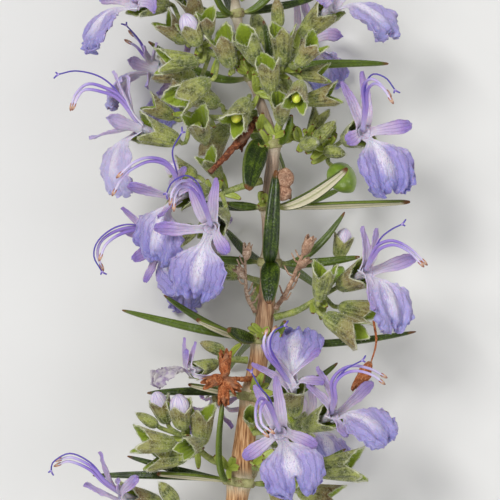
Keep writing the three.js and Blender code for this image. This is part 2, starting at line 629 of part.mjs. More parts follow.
const apart = (a, b) => [0, 1, 2].some((i) => a.min[i] > b.max[i] || b.min[i] > a.max[i]);

/** Adds a piece: cut flat where it meets the surface, and clear of the pieces that are there already. */
function add(name, piece, material) {
  let shape = piece.subtract(floor);
  for (const other of placed) {
    if (apart(shape.boundingBox(), other.boundingBox())) continue;
    if (shape.intersect(other).volume() > 1e-3) shape = shape.subtract(grown(other));
  }
  const bodies = shape.decompose().sort((a, b) => b.volume() - a.volume());
  placed.push(bodies[0]);
  const { vertProperties, triVerts } = bodies[0].getMesh();
  const geometry = new THREE.BufferGeometry();
  geometry.setAttribute("position", new THREE.BufferAttribute(vertProperties, 3));
  geometry.setIndex(new THREE.BufferAttribute(triVerts, 1));
  const mesh = new THREE.Mesh(geometry, material);
  mesh.name = name;
  sprig.add(mesh);
}

const stemRoute = route(STEM);

/** The stem, with its radius running evenly from each point of its axis to the next. */
function stem() {
  const last = STEM_RADII.length - 1;
  const radius = (t) => {
    const i = Math.min(Math.floor(t * last), last - 1);
    return THREE.MathUtils.lerp(STEM_RADII[i], STEM_RADII[i + 1], t * last - i);
  };
  return limb(stemRoute, radius, 8, Math.round(1.5 * last));
}

/** The stem's centre and radius at a height along the sprig. */
function stemAt(y) {
  const i = STEM.findIndex((point) => point[1] > y);
  const t = (y - STEM[i - 1][1]) / (STEM[i][1] - STEM[i - 1][1]);
  const centre = vec(STEM[i - 1]).lerp(vec(STEM[i]), t);
  return { centre, radius: THREE.MathUtils.lerp(STEM_RADII[i - 1], STEM_RADII[i], t) };
}

/** A straight stretch of the stem's axis, with the radius of a collar's hole that clears the stem. */
function stemBar(y, length) {
  const [low, high] = [-0.5, 0.5].map((end) => stemAt(y + end * length));
  const bar = new THREE.LineCurve3(low.centre, high.centre);
  bar.radius = (Math.max(low.radius, high.radius) + GAP) / Math.cos(Math.PI / COLLAR_SIDES);
  return bar;
}

/** A whorl of leaves on its collar, a ring of leaf bases round the stem. */
function whorl({ y, leaves }) {
  const bar = stemBar(y, COLLAR_HEIGHT);
  const hole = stemBar(y, 2 * COLLAR_HEIGHT);
  const rod = (line, radius) => limb(line, () => radius, COLLAR_SIDES, 1);
  const collar = rod(bar, bar.radius + COLLAR_WALL).subtract(rod(hole, bar.radius));
  return join([collar, ...leaves.map((plan) => leaf(bar, plan))]);
}

/** A flower head on a raceme, with its stalk's foot at the nearest of the axis's points. */
function head(spine, make, flower, length) {
  const nearer = (a, b) => (a.distanceTo(vec(flower.from)) < b.distanceTo(vec(flower.from)) ? a : b);
  const frame = flowerFrame(flower, length);
  const foot = spine.getPoints(20).reduce(nearer).applyMatrix4(frame.clone().invert());
  return make(foot).transform(frame.elements);
}

/** A raceme: its axis, with open calyces, closed buds, green fruits, and a calyx for each of its blooms. */
function raceme({ axis, open = [], buds = [], fruits = [], blooms = {} }) {
  const spine = route(axis);
  return join([
    limb(spine, (t) => PEDUNCLE_RADIUS * (1 - 0.3 * t), 4, 3),
    ...open.map((flower) => head(spine, openCalyx, flower, CALYX_LENGTH)),
    ...buds.map((flower) => head(spine, budCalyx, flower, BUD_LENGTH)),
    ...fruits.map((flower) => head(spine, fruitCalyx, flower, FRUIT_LENGTH)),
    ...Object.values(blooms).map((flower) => head(spine, openCalyx, flower, THROAT)),
  ]);
}

/** A dried twig with its shrivelled husks. */
function driedTwig({ axis, radius, husks }) {
  const twig = limb(route(axis), (t) => radius * (1 - 0.4 * t), 5, 3);
  const husk = ({ from, to, width = 1.1 }) =>
    limb(new THREE.LineCurve3(vec(from), vec(to)), (t) => width * (0.25 + 1.3 * t - 1.4 * t * t), 5, 3);
  return join([twig, ...husks.map(husk)]);
}

add("stem", stem(), WOOD);
WHORLS.forEach((plan, i) => add(`leaf_whorl_${String(i + 1).padStart(2, "0")}`, whorl(plan), LEAF));
Object.entries(RACEMES).forEach(([name, plan]) => add(name, raceme(plan), CALYX));
Object.values(RACEMES).forEach(({ blooms = {} }) =>
  Object.entries(blooms).forEach(([name, flower]) => {
    add(name, bloom(flower.lift, flower.to[2] > 0).transform(flowerFrame(flower, THROAT).elements), PETAL);
  }),
);
Object.entries(DRIED_REMAINS).forEach(([name, plan]) => add(name, driedTwig(plan), DRIED));

export default sprig;
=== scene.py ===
import math
import random

import bpy
import numpy as np
from mathutils import Matrix, Vector, noise
from mathutils.geometry import interpolate_bezier


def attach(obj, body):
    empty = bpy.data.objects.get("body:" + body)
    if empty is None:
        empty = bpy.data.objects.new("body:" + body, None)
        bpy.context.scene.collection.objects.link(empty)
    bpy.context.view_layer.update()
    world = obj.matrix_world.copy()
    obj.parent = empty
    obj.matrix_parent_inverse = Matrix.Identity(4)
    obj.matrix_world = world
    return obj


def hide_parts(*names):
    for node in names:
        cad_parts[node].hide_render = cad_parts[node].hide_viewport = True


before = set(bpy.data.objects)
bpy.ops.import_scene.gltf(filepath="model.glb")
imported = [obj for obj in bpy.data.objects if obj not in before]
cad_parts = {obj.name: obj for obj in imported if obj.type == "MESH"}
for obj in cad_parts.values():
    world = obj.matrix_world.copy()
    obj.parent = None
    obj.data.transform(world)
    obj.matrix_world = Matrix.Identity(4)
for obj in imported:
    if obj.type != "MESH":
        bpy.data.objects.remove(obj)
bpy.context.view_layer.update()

# --- The studio -------------------------------------------------------------------------------------------
# A plain pale floor that the sprig lies on, three soft lamps over it, and a camera with a long lens that
# looks straight down at the flowering middle of the sprig, tip up.

MM = 0.001
STEM_HEIGHT = 12.0  # mm from the floor up to the stem's axis
MIDDLE = (-1.3, 2.68)  # mm, the middle of the outline in the sprig's own frame, with the stem's axis at z = 0
FLOOR_SIZE = 4.0  # m
VIEW_WIDTH = 60.0 * MM
LENS = 300.0
SENSOR = 36.0
SKY_STRENGTH = 0.40


def row_place(point):
    """A place in the sprig's own frame, in mm, as a place in the row's frame, in metres."""
    x, y, z = point
    return Vector((x - MIDDLE[0], y - MIDDLE[1], z + STEM_HEIGHT)) * MM


def linear(red, green, blue):
    """A screen colour from 0 to 255 as the linear colour that shaders take."""
    return tuple((value / 255) ** 2.2 for value in (red, green, blue)) + (1.0,)


def finish(name, **plain):
    """A new material with its plain shader values: its node tree and its Principled shader."""
    material = bpy.data.materials.new(name)
    material.use_nodes = True
    shader = material.node_tree.nodes["Principled BSDF"]
    for key, value in plain.items():
        shader.inputs[key.replace("_", " ")].default_value = value
    return material, material.node_tree, shader


bpy.ops.object.select_all(action="DESELECT")
bpy.ops.mesh.primitive_plane_add(size=FLOOR_SIZE)
floor = bpy.context.object
floor.name = "floor"
floor.data.materials.append(finish("pale floor", Base_Color=linear(225, 224, 221), Roughness=0.9)[0])

# Each lamp has its place and its side in metres, and its power in watts.
for lamp_name, place, size, power in [
    ("key_lamp", (-0.24, 0.24, 0.59), 0.20, 2.9),
    ("fill_lamp", (0.42, -0.10, 0.45), 0.40, 1.0),
    ("low_lamp", (-0.05, -0.50, 0.40), 0.30, 0.7),
]:
    bpy.ops.object.light_add(type="AREA", location=place)
    lamp = bpy.context.object
    lamp.name = lamp_name
    lamp.data.size = size
    lamp.data.energy = power
    lamp.rotation_euler = (-Vector(place)).to_track_quat("-Z", "Y").to_euler()

sky = bpy.context.scene.world or bpy.data.worlds.new("sky")
bpy.context.scene.world = sky
sky.use_nodes = True
sky.node_tree.nodes["Background"].inputs["Color"].default_value = linear(228, 230, 235)
sky.node_tree.nodes["Background"].inputs["Strength"].default_value = SKY_STRENGTH
bpy.context.scene.view_settings.view_transform = "Standard"

camera_height = VIEW_WIDTH * LENS / SENSOR
bpy.ops.object.camera_add(location=row_place((0, 0, 0)) + Vector((0, 0, camera_height)), rotation=(0, 0, 0))
camera = bpy.context.object
camera.data.lens = LENS
camera.data.sensor_width = SENSOR
camera.data.clip_start = 0.01
bpy.context.scene.camera = camera

# --- The stem ---------------------------------------------------------------------------------------------
# One woody stem, tan-brown and grained at its cut end, grey-pink and downy above, with a swollen pale joint
# at every whorl of leaves. It is drawn out of a disc, ring by ring, and then bent along its own route.

# The stem's route and its radius there, from the cut end to the tip, and where on it the whorls are, in mm.
STEM = [(-3.2, -40.5, -0.4), (-1.6, -30, 0), (-0.3, -20.4, 0), (1.4, -10.8, 0), (2.4, -1.2, 0), (2.3, 6, 0),
        (2.7, 12.6, 0), (0.9, 18.6, 0), (-0.9, 24.6, 0), (-1.8, 30, 0), (-1.4, 36, 0.2), (-0.4, 43, 0.4)]
STEM_RADII = [1.4, 1.32, 1.25, 1.1, 1.0, 0.86, 0.74, 0.58, 0.5, 0.46, 0.42, 0.28]
JOINTS = [-34.5, -27.8, -17.6, -10.8, -1.5, 5.2, 12.7, 20.9, 28.4, 35.4, 40.4]
STEM_SIDES = 40
STEM_RINGS = 260
STEM_STEPS = 240
SWELLING = 0.26  # mm, how far a joint stands out
JOINT_LENGTH = 1.1  # mm, half the length of a joint's swelling
GRAIN = 0.05  # mm, the depth of the bark's grain
SMOOTH_BARK = 0.03  # how lumpy the old wood is, as a share of the stem's radius
LUMPY_BARK = 0.06  # how much lumpier the stem is above the height where its wood is young
YOUNG_WOOD = 8.0
CUT_ROUNDING = 0.93


def corners(part):
    """The places of a part's vertices."""
    flat = np.empty(len(part.data.vertices) * 3)
    part.data.vertices.foreach_get("co", flat)
    return flat.reshape(-1, 3)


def move_corners(part, places):
    part.data.vertices.foreach_set("co", np.ascontiguousarray(places, float).ravel())
    part.data.update()


def note_place(part, across, along, kind):
    """Keeps where each vertex lies on its own part, for the material: across it, along it, and a kind."""
    layer = part.data.attributes.get("place") or part.data.attributes.new("place", "FLOAT_VECTOR", "POINT")
    values = np.stack(np.broadcast_arrays(across, along, kind, corners(part)[:, 0])[:3], 1)
    layer.data.foreach_set("vector", values.astype(np.float32).ravel())


def smooth_route(points, count=48):
    """Evenly spaced places on a smooth curve through a few points."""
    points = [Vector(point) for point in points]
    ends = [2 * points[0] - points[1], *points, 2 * points[-1] - points[-2]]
    dense = []
    for before, start, stop, after in zip(ends, ends[1:], ends[2:], ends[3:]):
        handles = start + (stop - before) / 6, stop - (after - start) / 6
        dense += interpolate_bezier(start, *handles, stop, 17)[:-1]
    dense = np.array([*dense, points[-1]])
    run = np.concatenate([[0], np.cumsum(np.linalg.norm(np.diff(dense, axis=0), axis=1))])
    at = np.linspace(0, run[-1], count)
    return np.stack([np.interp(at, run, dense[:, axis]) for axis in range(3)], 1)


def bend_along(part, way, face):
    """Bends a straight part, which runs from z = 0 to 1 with its face towards +Y, along a way in mm."""
    tangents = np.gradient(way, axis=0)
    tangents /= np.linalg.norm(tangents, axis=1, keepdims=True)
    ups = []
    up = np.array(face, float)
    for tangent in tangents:
        up = up - tangent * (up @ tangent)
        up = up / np.linalg.norm(up)
        ups.append(up)
    sides = np.cross(ups, tangents)
    old = corners(part)
    at = old[:, 2] * (len(way) - 1)
    step = np.clip(np.floor(at).astype(int), 0, len(way) - 2)
    rest = (at - step)[:, None]

    def mixed(table):
        table = np.asarray(table)
        return table[step] * (1 - rest) + table[step + 1] * rest

    move_corners(part, mixed(way) + mixed(sides) * old[:, :1] + mixed(ups) * old[:, 1:2])


def straight_rod(name, sides, stations):
    """A closed rod up +Z, drawn out of a disc through (z, radius) or (z, half width, half depth) stations."""
    bpy.ops.object.select_all(action="DESELECT")
    bpy.ops.mesh.primitive_circle_add(vertices=sides, radius=1, fill_type="NGON")
    rod = bpy.context.object
    rod.name = name
    (z, wide, deep), *others = [(*station, station[-1])[:3] for station in stations]
    bpy.ops.object.mode_set(mode="EDIT")
    bpy.ops.transform.resize(value=(wide, deep, 1), center_override=(0, 0, 0))
    bpy.ops.transform.translate(value=(0, 0, z))
    for next_z, next_wide, next_deep in others:
        bpy.ops.mesh.extrude_region_move(TRANSFORM_OT_translate={"value": (0, 0, next_z - z)})
        wider = (next_wide / wide, next_deep / deep, 1)
        bpy.ops.transform.resize(value=wider, center_override=(0, 0, next_z))
        z, wide, deep = next_z, next_wide, next_deep
    bpy.ops.mesh.select_all(action="SELECT")
    bpy.ops.mesh.normals_make_consistent(inside=False)
    bpy.ops.object.mode_set(mode="OBJECT")
    return rod


def even_rod(name, sides, rings):
    """A rod of radius 1 from z = 0 to 1, with evenly spaced rings."""
    return straight_rod(name, sides, [(ring / rings, 1) for ring in range(rings + 1)])


def gather(parts):
    """Joins parts into the first of them."""
    bpy.ops.object.select_all(action="DESELECT")
    for part in parts:
        part.select_set(True)
    bpy.context.view_layer.objects.active = parts[0]
    if len(parts) > 1:
        bpy.ops.object.join()
    return parts[0]


def settle(name, parts, slot, *nodes):
    """Joins parts that are made in the sprig's own frame into one piece, in place of any CAD nodes named."""
    piece = gather(parts)
    piece.name = name
    piece.data.name = name
    move_corners(piece, (corners(piece) + (-MIDDLE[0], -MIDDLE[1], STEM_HEIGHT)) * MM)
    bpy.ops.object.shade_smooth()
    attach(piece, "root")
    if nodes:
        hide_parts(*nodes)
    return piece


def ragged(places, size, seed):
    """A smooth random value from about -1 to 1 at each place. Size is how far apart its bumps are."""
    shift = Vector((seed * 7.3, seed * 3.1, seed * 5.7))
    return np.array([noise.noise(Vector(place) / size + shift) for place in places])


def plug(tree, socket, value):
    """Gives a socket another node's socket, a plain value, or a screen colour."""
    if isinstance(value, bpy.types.NodeSocket):
        tree.links.new(value, socket)
    elif socket.type == "RGBA" and len(value) == 3:
        socket.default_value = linear(*value)
    else:
        socket.default_value = value


def add_node(tree, kind, inputs=None, **settings):
    """A shader node with its settings and inputs. An input is a plain value or another node's socket."""
    made = tree.nodes.new(kind)
    for name, value in settings.items():
        setattr(made, name, value)
    for name, value in (inputs or {}).items():
        plug(tree, made.inputs[name], value)
    return made


def blend(tree, factor, first, second):
    """The colour between two colours, or sockets, at a factor from 0 to 1."""
    return add_node(tree, "ShaderNodeMix", {0: factor, 6: first, 7: second}, data_type="RGBA").outputs[2]


def ramp(tree, factor, *stops):
    """The colour along a row of (place, screen colour) stops."""
    made = add_node(tree, "ShaderNodeValToRGB", {"Fac": factor})
    for number, (place, colour) in enumerate(stops):
        stop = made.color_ramp.elements[number] if number < 2 else made.color_ramp.elements.new(place)
        stop.position = place
        stop.color = linear(*colour)
    return made.outputs["Color"]


def reckon(tree, sum_name, *values):
    """One step of arithmetic on values or sockets."""
    return add_node(tree, "ShaderNodeMath", dict(enumerate(values)), operation=sum_name).outputs[0]


def plus(tree, first, second):
    return reckon(tree, "ADD", first, second)


def times(tree, first, second):
    return reckon(tree, "MULTIPLY", first, second)


def without(tree, value):
    """What a value from 0 to 1 leaves of 1."""
    return reckon(tree, "SUBTRACT", 1.0, value)


def between(tree, value, low, high):
    """A value's place between low and high, from 0 to 1, eased at both ends."""
    return add_node(tree, "ShaderNodeMapRange", {"Value": value, "From Min": low, "From Max": high},
                    interpolation_type="SMOOTHSTEP").outputs[0]


def lay(tree, under, over, mask, share):
    """Lays a share of one colour over another where a mask says."""
    return blend(tree, times(tree, mask, share), under, over)


def spot_on(tree):
    """The place of a point in its piece's own frame, in metres."""
    return add_node(tree, "ShaderNodeTexCoord").outputs["Object"]


def own_place(tree):
    """Where a point lies on its own part: across it, along it, and the third value that was kept."""
    place = add_node(tree, "ShaderNodeAttribute", attribute_name="place")
    return add_node(tree, "ShaderNodeSeparateXYZ", {"Vector": place.outputs["Vector"]}).outputs


def cloud(tree, spot, scale, detail=2, **more):
    """Cloudy noise from 0 to 1 at a place."""
    inputs = {"Vector": spot, "Scale": scale, "Detail": detail, **more}
    return add_node(tree, "ShaderNodeTexNoise", inputs).outputs[0]


def relief(tree, shader, *bumps):
    """Feeds (height, strength, depth in mm) bumps, one over the other, to a shader's normal."""
    normal = None
    for height, strength, depth in bumps:
        inputs = {"Height": height, "Strength": strength, "Distance": depth * MM}
        if normal:
            inputs["Normal"] = normal
        normal = add_node(tree, "ShaderNodeBump", inputs).outputs[0]
    tree.links.new(normal, shader.inputs["Normal"])


def number_group(name, takes, gives):
    """An empty node group of plain numbers, with what it is given and where its results go."""
    group = bpy.data.node_groups.new(name, "ShaderNodeTree")
    for socket_name in takes:
        group.interface.new_socket(socket_name, in_out="INPUT", socket_type="NodeSocketFloat")
    for socket_name in gives:
        group.interface.new_socket(socket_name, in_out="OUTPUT", socket_type="NodeSocketFloat")
    return group, group.nodes.new("NodeGroupInput").outputs, group.nodes.new("NodeGroupOutput").inputs


def downy_group():
    """Fine down, felt or meal on a surface: how white it is, and how high, at each point."""
    group, given, results = number_group("down", ("Fineness", "Cover"), ("White", "Height"))
    spot = spot_on(group)
    specks = cloud(group, spot, given["Fineness"], 4, Roughness=0.7)
    patches = cloud(group, spot, 900)
    raised = plus(group, specks, times(group, patches, 0.35))
    low = without(group, times(group, given["Cover"], 0.6))
    white = between(group, raised, reckon(group, "SUBTRACT", low, 0.14), plus(group, low, 0.12))
    group.links.new(white, results["White"])
    group.links.new(specks, results["Height"])
    return group


down = downy_group()


def down_on(tree, fineness, cover):
    return add_node(tree, "ShaderNodeGroup", {"Fineness": fineness, "Cover": cover}, node_tree=down).outputs


def bark_finish():
    """Coarse tan grain low down, redder and downy above, green near the tip, and pale at the joints."""
    material, tree, shader = finish("bark", Roughness=0.82)
    spot = spot_on(tree)
    _, along, joint = own_place(tree)
    stretched = add_node(tree, "ShaderNodeMapping", {"Vector": spot, "Scale": (1, 0.08, 1)}).outputs[0]
    grain = cloud(tree, stretched, 5200, 6)
    blotch = cloud(tree, spot, 500, 4)
    old = ramp(tree, grain, (0.28, (96, 58, 34)), (0.46, (172, 122, 78)), (0.7, (226, 184, 138)))
    young = ramp(tree, grain, (0.3, (84, 52, 38)), (0.5, (136, 98, 74)), (0.72, (184, 150, 124)))
    height = plus(tree, along, times(tree, blotch, 0.12))
    colour = blend(tree, between(tree, height, 0.3, 0.62), old, young)
    green = blend(tree, blotch, (112, 108, 66), (156, 148, 108))
    colour = blend(tree, between(tree, height, 0.78, 1.04), colour, green)
    fuzz = down_on(tree, 9000, 0.75)
    pale = blend(tree, fuzz["White"], (150, 148, 104), (214, 208, 180))
    colour = lay(tree, colour, pale, joint, between(tree, blotch, 0.3, 0.6))
    white = times(tree, fuzz["White"], between(tree, height, 0.3, 0.8))
    colour = lay(tree, colour, (216, 210, 192), white, 0.35)
    tree.links.new(colour, shader.inputs["Base Color"])
    relief(tree, shader, (grain, 0.6, 0.12), (fuzz["Height"], 0.3, 0.06))
    return material


stem = even_rod("stem_bark", STEM_SIDES, STEM_RINGS)
unit = corners(stem)
stem_way = smooth_route(STEM, STEM_STEPS)
heights = np.interp(unit[:, 2], np.linspace(0, 1, STEM_STEPS), stem_way[:, 1])
radii = np.interp(heights, [point[1] for point in STEM], STEM_RADII)
swelling = sum(np.exp(-(((heights - joint) / JOINT_LENGTH) ** 2)) for joint in JOINTS)
turn = np.arctan2(unit[:, 0], unit[:, 1])
ridges = ragged(np.stack([np.sin(turn) * 3, np.cos(turn) * 3, heights * 0.16], 1), 0.5, 1)
lumps = ragged(np.stack([np.sin(turn), np.cos(turn), heights * 0.7], 1), 1.0, 2)
lumpy = SMOOTH_BARK + LUMPY_BARK * (heights > YOUNG_WOOD)
radii = radii * (1 + lumpy * lumps) + GRAIN * ridges + SWELLING * swelling
radii[unit[:, 2] < 1e-6] *= CUT_ROUNDING
unit[:, :2] *= radii[:, None]
note_place(stem, turn / math.pi, unit[:, 2], np.clip(swelling, 0, 1))
move_corners(stem, unit)
bend_along(stem, stem_way, (0, 0, 1))
stem.data.materials.append(bark_finish())
settle("stem_bark", [stem], "wood", "stem")

# --- The leaves -------------------------------------------------------------------------------------------
# Narrow leathery leaves in whorls: glossy, pebbled and grooved above, with margins that roll under, and
# cream felt with a midrib below. One leaf is modelled straight, and each copy is bent from the stem to its
# tip. A soft pale ring of leaf bases closes round the stem under each whorl.

# For each whorl, its place along the stem, and its leaves: tip, half width, and where the face looks.
WHORLS = [
    (-34.5, [
        ((-12.6, -36.6, -3), 0.7),
        ((8.8, -37.2, -2), 0.7),
        ((-0.4, -28.6, -10.6), 0.75),
    ]),
    (-27.8, [
        ((-3.2, -18, 4.2), 0.6),
        ((-11.2, -26.8, 0.2), 0.75, (0, 1, -0.5)),
        ((-14.8, -24.8, -1.6), 0.55),
        ((-19, -27.2, -2.4), 0.6),
        ((11.6, -24, -3.4), 0.65),
    ]),
    (-17.6, [
        ((-12.4, -17.2, -0.8), 0.6),
        ((-7.4, -16, 3), 0.5, (0, 0.6, -1)),
        ((10.6, -13.6, -3), 0.6),
        ((3.4, -13, -10.6), 0.75),
    ]),
    (-10.8, [
        ((-15.4, -7.2, -0.4), 0.6),
        ((-6.4, -8.2, 2.8), 0.75, (0, 1, -0.6)),
        ((-10.4, -5.4, -1.6), 0.55),
        ((20, -9.8, -1), 0.55),
        ((-2.6, -9.4, 6.2), 1.0),
        ((4.2, -8.4, 3.4), 0.65),
        ((-2.6, -14.6, -11.4), 0.75),
    ]),
    (-1.5, [
        ((-7.2, -1, 0.4), 0.6),
        ((13.2, -0.8, 0.4), 0.65),
        ((2.2, -6.4, 5.4), 1.4),
        ((3.1, 9.6, 2.6), 1.15, (0, -1, 0.1)),
        ((11.4, 4.6, -0.6), 0.55),
        ((-3, 2.6, -11), 0.7),
        ((8.4, -4.6, -10.4), 0.7),
    ]),
    (5.2, [
        ((19.2, 5.8, 1.2), 0.75, (0, 1, -0.6)),
        ((11.6, 9.8, 4.4), 0.95, (-0.4, 0.6, -1)),
        ((-2.8, 5.6, 0.8), 0.6),
        ((-7.2, 5.8, -8.2), 0.65),
        ((11, 7.4, -8.4), 0.65),
    ]),
    (12.7, [
        ((-0.2, 7.1, 5.8), 1.9),
        ((4.9, 16.2, 2.4), 0.6),
        ((5, 6.2, -10.4), 0.75),
        ((-1.6, 17.4, -10.2), 0.7),
    ]),
    (20.9, [
        ((16.7, 22.4, -1), 0.65),
        ((-12.4, 25.4, -7), 0.65),
        ((1.6, 27.6, -0.8), 0.6),
        ((-2.4, 26.8, -9.8), 0.7),
    ]),
    (28.4, [
        ((-5, 33.4, 2.6), 0.55),
        ((4.6, 34.4, 0.8), 0.6),
        ((-10.6, 31.8, -2.4), 0.6),
        ((-4, 34, -7.6), 0.6),
        ((7.8, 30.4, -4.4), 0.6),
    ]),
    (35.4, [
        ((-7.4, 39.6, 1.2), 0.6),
        ((5.2, 39.4, 0.4), 0.6),
        ((-2.4, 41.6, 4.2), 0.55),
        ((0.6, 41.4, -4.8), 0.55),
    ]),
    (40.4, [
        ((-4.2, 44.8, 1.2), 0.5),
        ((2.8, 45.2, 0.6), 0.5),
        ((-0.8, 46, 2.2), 0.45),
        ((-0.4, 45.4, -2), 0.45),
    ]),
]
# The half width along a leaf, from its base to its tip.
LEAF_PROFILE = [(0, 0.36), (0.03, 0.42), (0.08, 0.52), (0.16, 0.65), (0.26, 0.77), (0.36, 0.85), (0.46, 0.88),
                (0.56, 0.87), (0.66, 0.83), (0.75, 0.76), (0.83, 0.66), (0.9, 0.54), (0.95, 0.42),
                (0.985, 0.26), (1, 0.12)]
LEAF_DEPTH = 0.3  # mm, half a leaf's thickness at its margins
LEAF_WAVE = 0.05  # mm, how far a leaf's blade waves
BROAD = 0.8  # mm of half width, over which a leaf is old and dark
# Each leaf roots inside the round ring of leaf bases, where a seven-sided collar would have its wall.
COLLAR_GAP = 0.1  # mm from the stem to the collar's flat sides
COLLAR_WALL = 0.55
COLLAR_SIDES = 7
COLLAR_REACH = 0.75  # mm, how far it reaches along the stem either way
RING_RADIUS = 0.24  # mm from the stem's surface to the middle of the ring's round wall
RING_STRETCH = 2.2  # how far the ring is drawn out along the stem


def copy_of(part):
    """A copy of a part with a mesh of its own."""
    twin = part.copy()
    twin.data = part.data.copy()
    bpy.context.collection.objects.link(twin)
    return twin


def pick(part, kind, chosen):
    """Starts edit mode on a part with the chosen ones of its vertices or faces selected."""
    bpy.context.view_layer.objects.active = part
    bpy.ops.object.mode_set(mode="EDIT")
    bpy.ops.mesh.select_mode(type=kind)
    bpy.ops.mesh.select_all(action="DESELECT")
    bpy.ops.object.mode_set(mode="OBJECT")
    for element, wanted in zip(part.data.vertices if kind == "VERT" else part.data.polygons, chosen):
        element.select = bool(wanted)
    bpy.ops.object.mode_set(mode="EDIT")


def nudge(part, where, move):
    """Moves the vertices whose (x, y, z) passes a test."""
    pick(part, "VERT", where(*corners(part).T))
    bpy.ops.transform.translate(value=move)
    bpy.ops.object.mode_set(mode="OBJECT")


def apply_modifier(part, kind, **settings):
    bpy.context.view_layer.objects.active = part
    modifier = part.modifiers.new(kind.title(), kind)
    for name, value in settings.items():
        setattr(modifier, name, value)
    bpy.ops.object.modifier_apply(modifier=modifier.name)


def change_third(part, change):
    """Changes the third value that the vertices of a part keep."""
    layer = part.data.attributes["place"]
    values = np.empty(len(part.data.vertices) * 3, np.float32)
    layer.data.foreach_get("vector", values)
    values[2::3] = change(values[2::3])
    layer.data.foreach_set("vector", values)


def tint_part(part, tone):
    """Keeps a tone from 0 to 1 in a part's third value, beside the sign that says inside or outside."""
    change_third(part, lambda kind: kind * (0.5 + 0.5 * tone))


def tone_of(tree, kind):
    """The tone that a third value keeps."""
    return reckon(tree, "SUBTRACT", times(tree, reckon(tree, "ABSOLUTE", kind), 2.0), 1.0)


def put_away(*models):
    """Deletes the models that copies were made from."""
    for model in models:
        bpy.data.objects.remove(model)


def leaf_finish(name, dark, middle, light, margin_colour):
    """Leathery above, with pebbles and a groove, painted shade in their hollows and a painted highlight
    beside the groove, a paler margin, felted below, and brown at its very tip.
    """
    material, tree, shader = finish(name, Coat_Roughness=0.25, Specular_IOR_Level=0.3)
    spot = spot_on(tree)
    across, along, upper = own_place(tree)
    bright = tone_of(tree, upper)
    from_middle = reckon(tree, "ABSOLUTE", across)
    pebbles = add_node(tree, "ShaderNodeTexVoronoi", {"Vector": spot, "Scale": 4600}, feature="SMOOTH_F1")
    raised = without(tree, pebbles.outputs[0])
    mottle = cloud(tree, spot, 700, 6)
    # Painted shade: the face is darker in the furrows between the pebbles and lighter on their crowns, over a
    # mottle of the leaf's own tones.
    pebble_painted_shade_and_mottle = plus(tree, times(tree, raised, 0.28), times(tree, mottle, 0.55))
    face = ramp(tree, pebble_painted_shade_and_mottle, (0.28, dark), (0.46, middle), (0.66, light))
    face = lay(tree, face, light, bright, 0.7)
    # Painted shade in the pressed-in groove along the midrib, and a painted highlight on the rises beside it.
    groove = without(tree, between(tree, from_middle, 0.03, 0.14))
    face = lay(tree, face, dark, groove, 0.4)
    beside = times(tree, between(tree, from_middle, 0.12, 0.2), between(tree, from_middle, 0.34, 0.24))
    face = lay(tree, face, light, beside, 0.12)
    face = lay(tree, face, margin_colour, between(tree, from_middle, 0.8, 1.0), 0.5)
    felt = down_on(tree, 12000, 0.9)
    below = blend(tree, felt["White"], (150, 150, 104), (218, 210, 180))
    midrib = without(tree, between(tree, from_middle, 0.06, 0.2))
    below = lay(tree, below, (142, 150, 84), midrib, 0.6)
    face_up = between(tree, upper, -0.3, 0.3)
    colour = blend(tree, face_up, below, face)
    reach = plus(tree, along, times(tree, mottle, 0.09))
    colour = blend(tree, without(tree, between(tree, reach, 0.06, 0.2)), colour, (158, 164, 98))
    colour = blend(tree, between(tree, reach, 0.985, 1.03), colour, (112, 72, 38))
    tree.links.new(colour, shader.inputs["Base Color"])
    roughness = reckon(tree, "SUBTRACT", 0.92, times(tree, face_up, 0.56))
    tree.links.new(roughness, shader.inputs["Roughness"])
    tree.links.new(times(tree, face_up, 0.3), shader.inputs["Coat Weight"])
    relief(tree, shader, (raised, 0.75, 0.12), (felt["Height"], 0.25, 0.05))
    return material


def leaf_base_finish():
    """Downy and blotched, from brown to a pale green."""
    material, tree, shader = finish("leaf base", Roughness=0.75)
    blotch = cloud(tree, spot_on(tree), 900, 5)
    fuzz = down_on(tree, 9000, 0.6)
    green = ramp(tree, blotch, (0.34, (104, 78, 48)), (0.48, (132, 132, 66)), (0.68, (176, 174, 106)))
    colour = lay(tree, green, (206, 200, 160), fuzz["White"], 0.4)
    tree.links.new(colour, shader.inputs["Base Color"])
    relief(tree, shader, (blotch, 0.6, 0.25), (fuzz["Height"], 0.4, 0.08))
    return material


def stem_at(height):
    """The stem's centre and radius at a place along the sprig."""
    along = [point[1] for point in STEM]
    x, z = (np.interp(height, along, [point[axis] for point in STEM]) for axis in (0, 2))
    return Vector((x, height, z)), np.interp(height, along, STEM_RADII)


def leaf_way(height, tip, count=40):
    """A leaf's route: squarely out of the stem's ring, then bending over to its tip."""
    (low, low_radius), (high, high_radius) = (stem_at(height + side * COLLAR_REACH) for side in (-1, 1))
    centre = (low + high) / 2
    axis = (high - low).normalized()
    hole = (max(low_radius, high_radius) + COLLAR_GAP) / math.cos(math.pi / COLLAR_SIDES)
    tip = Vector(tip)
    away = tip - centre
    away = (away - axis * axis.dot(away)).normalized()
    root = centre + away * (hole + 0.4 * COLLAR_WALL)
    bend = root + away * 0.35 * (tip - root).length
    steps = np.linspace(0, 1, count)
    return np.array([root * (1 - t) ** 2 + bend * 2 * t * (1 - t) + tip * t * t for t in steps])


def leaf_half(z):
    """Half of a straight leaf's width at a height."""
    return np.interp(z, *zip(*LEAF_PROFILE))


stations = [(z, width, LEAF_DEPTH * min(1, 3 * width)) for z, width in LEAF_PROFILE]
straight_leaf = straight_rod("leaf", 16, stations)
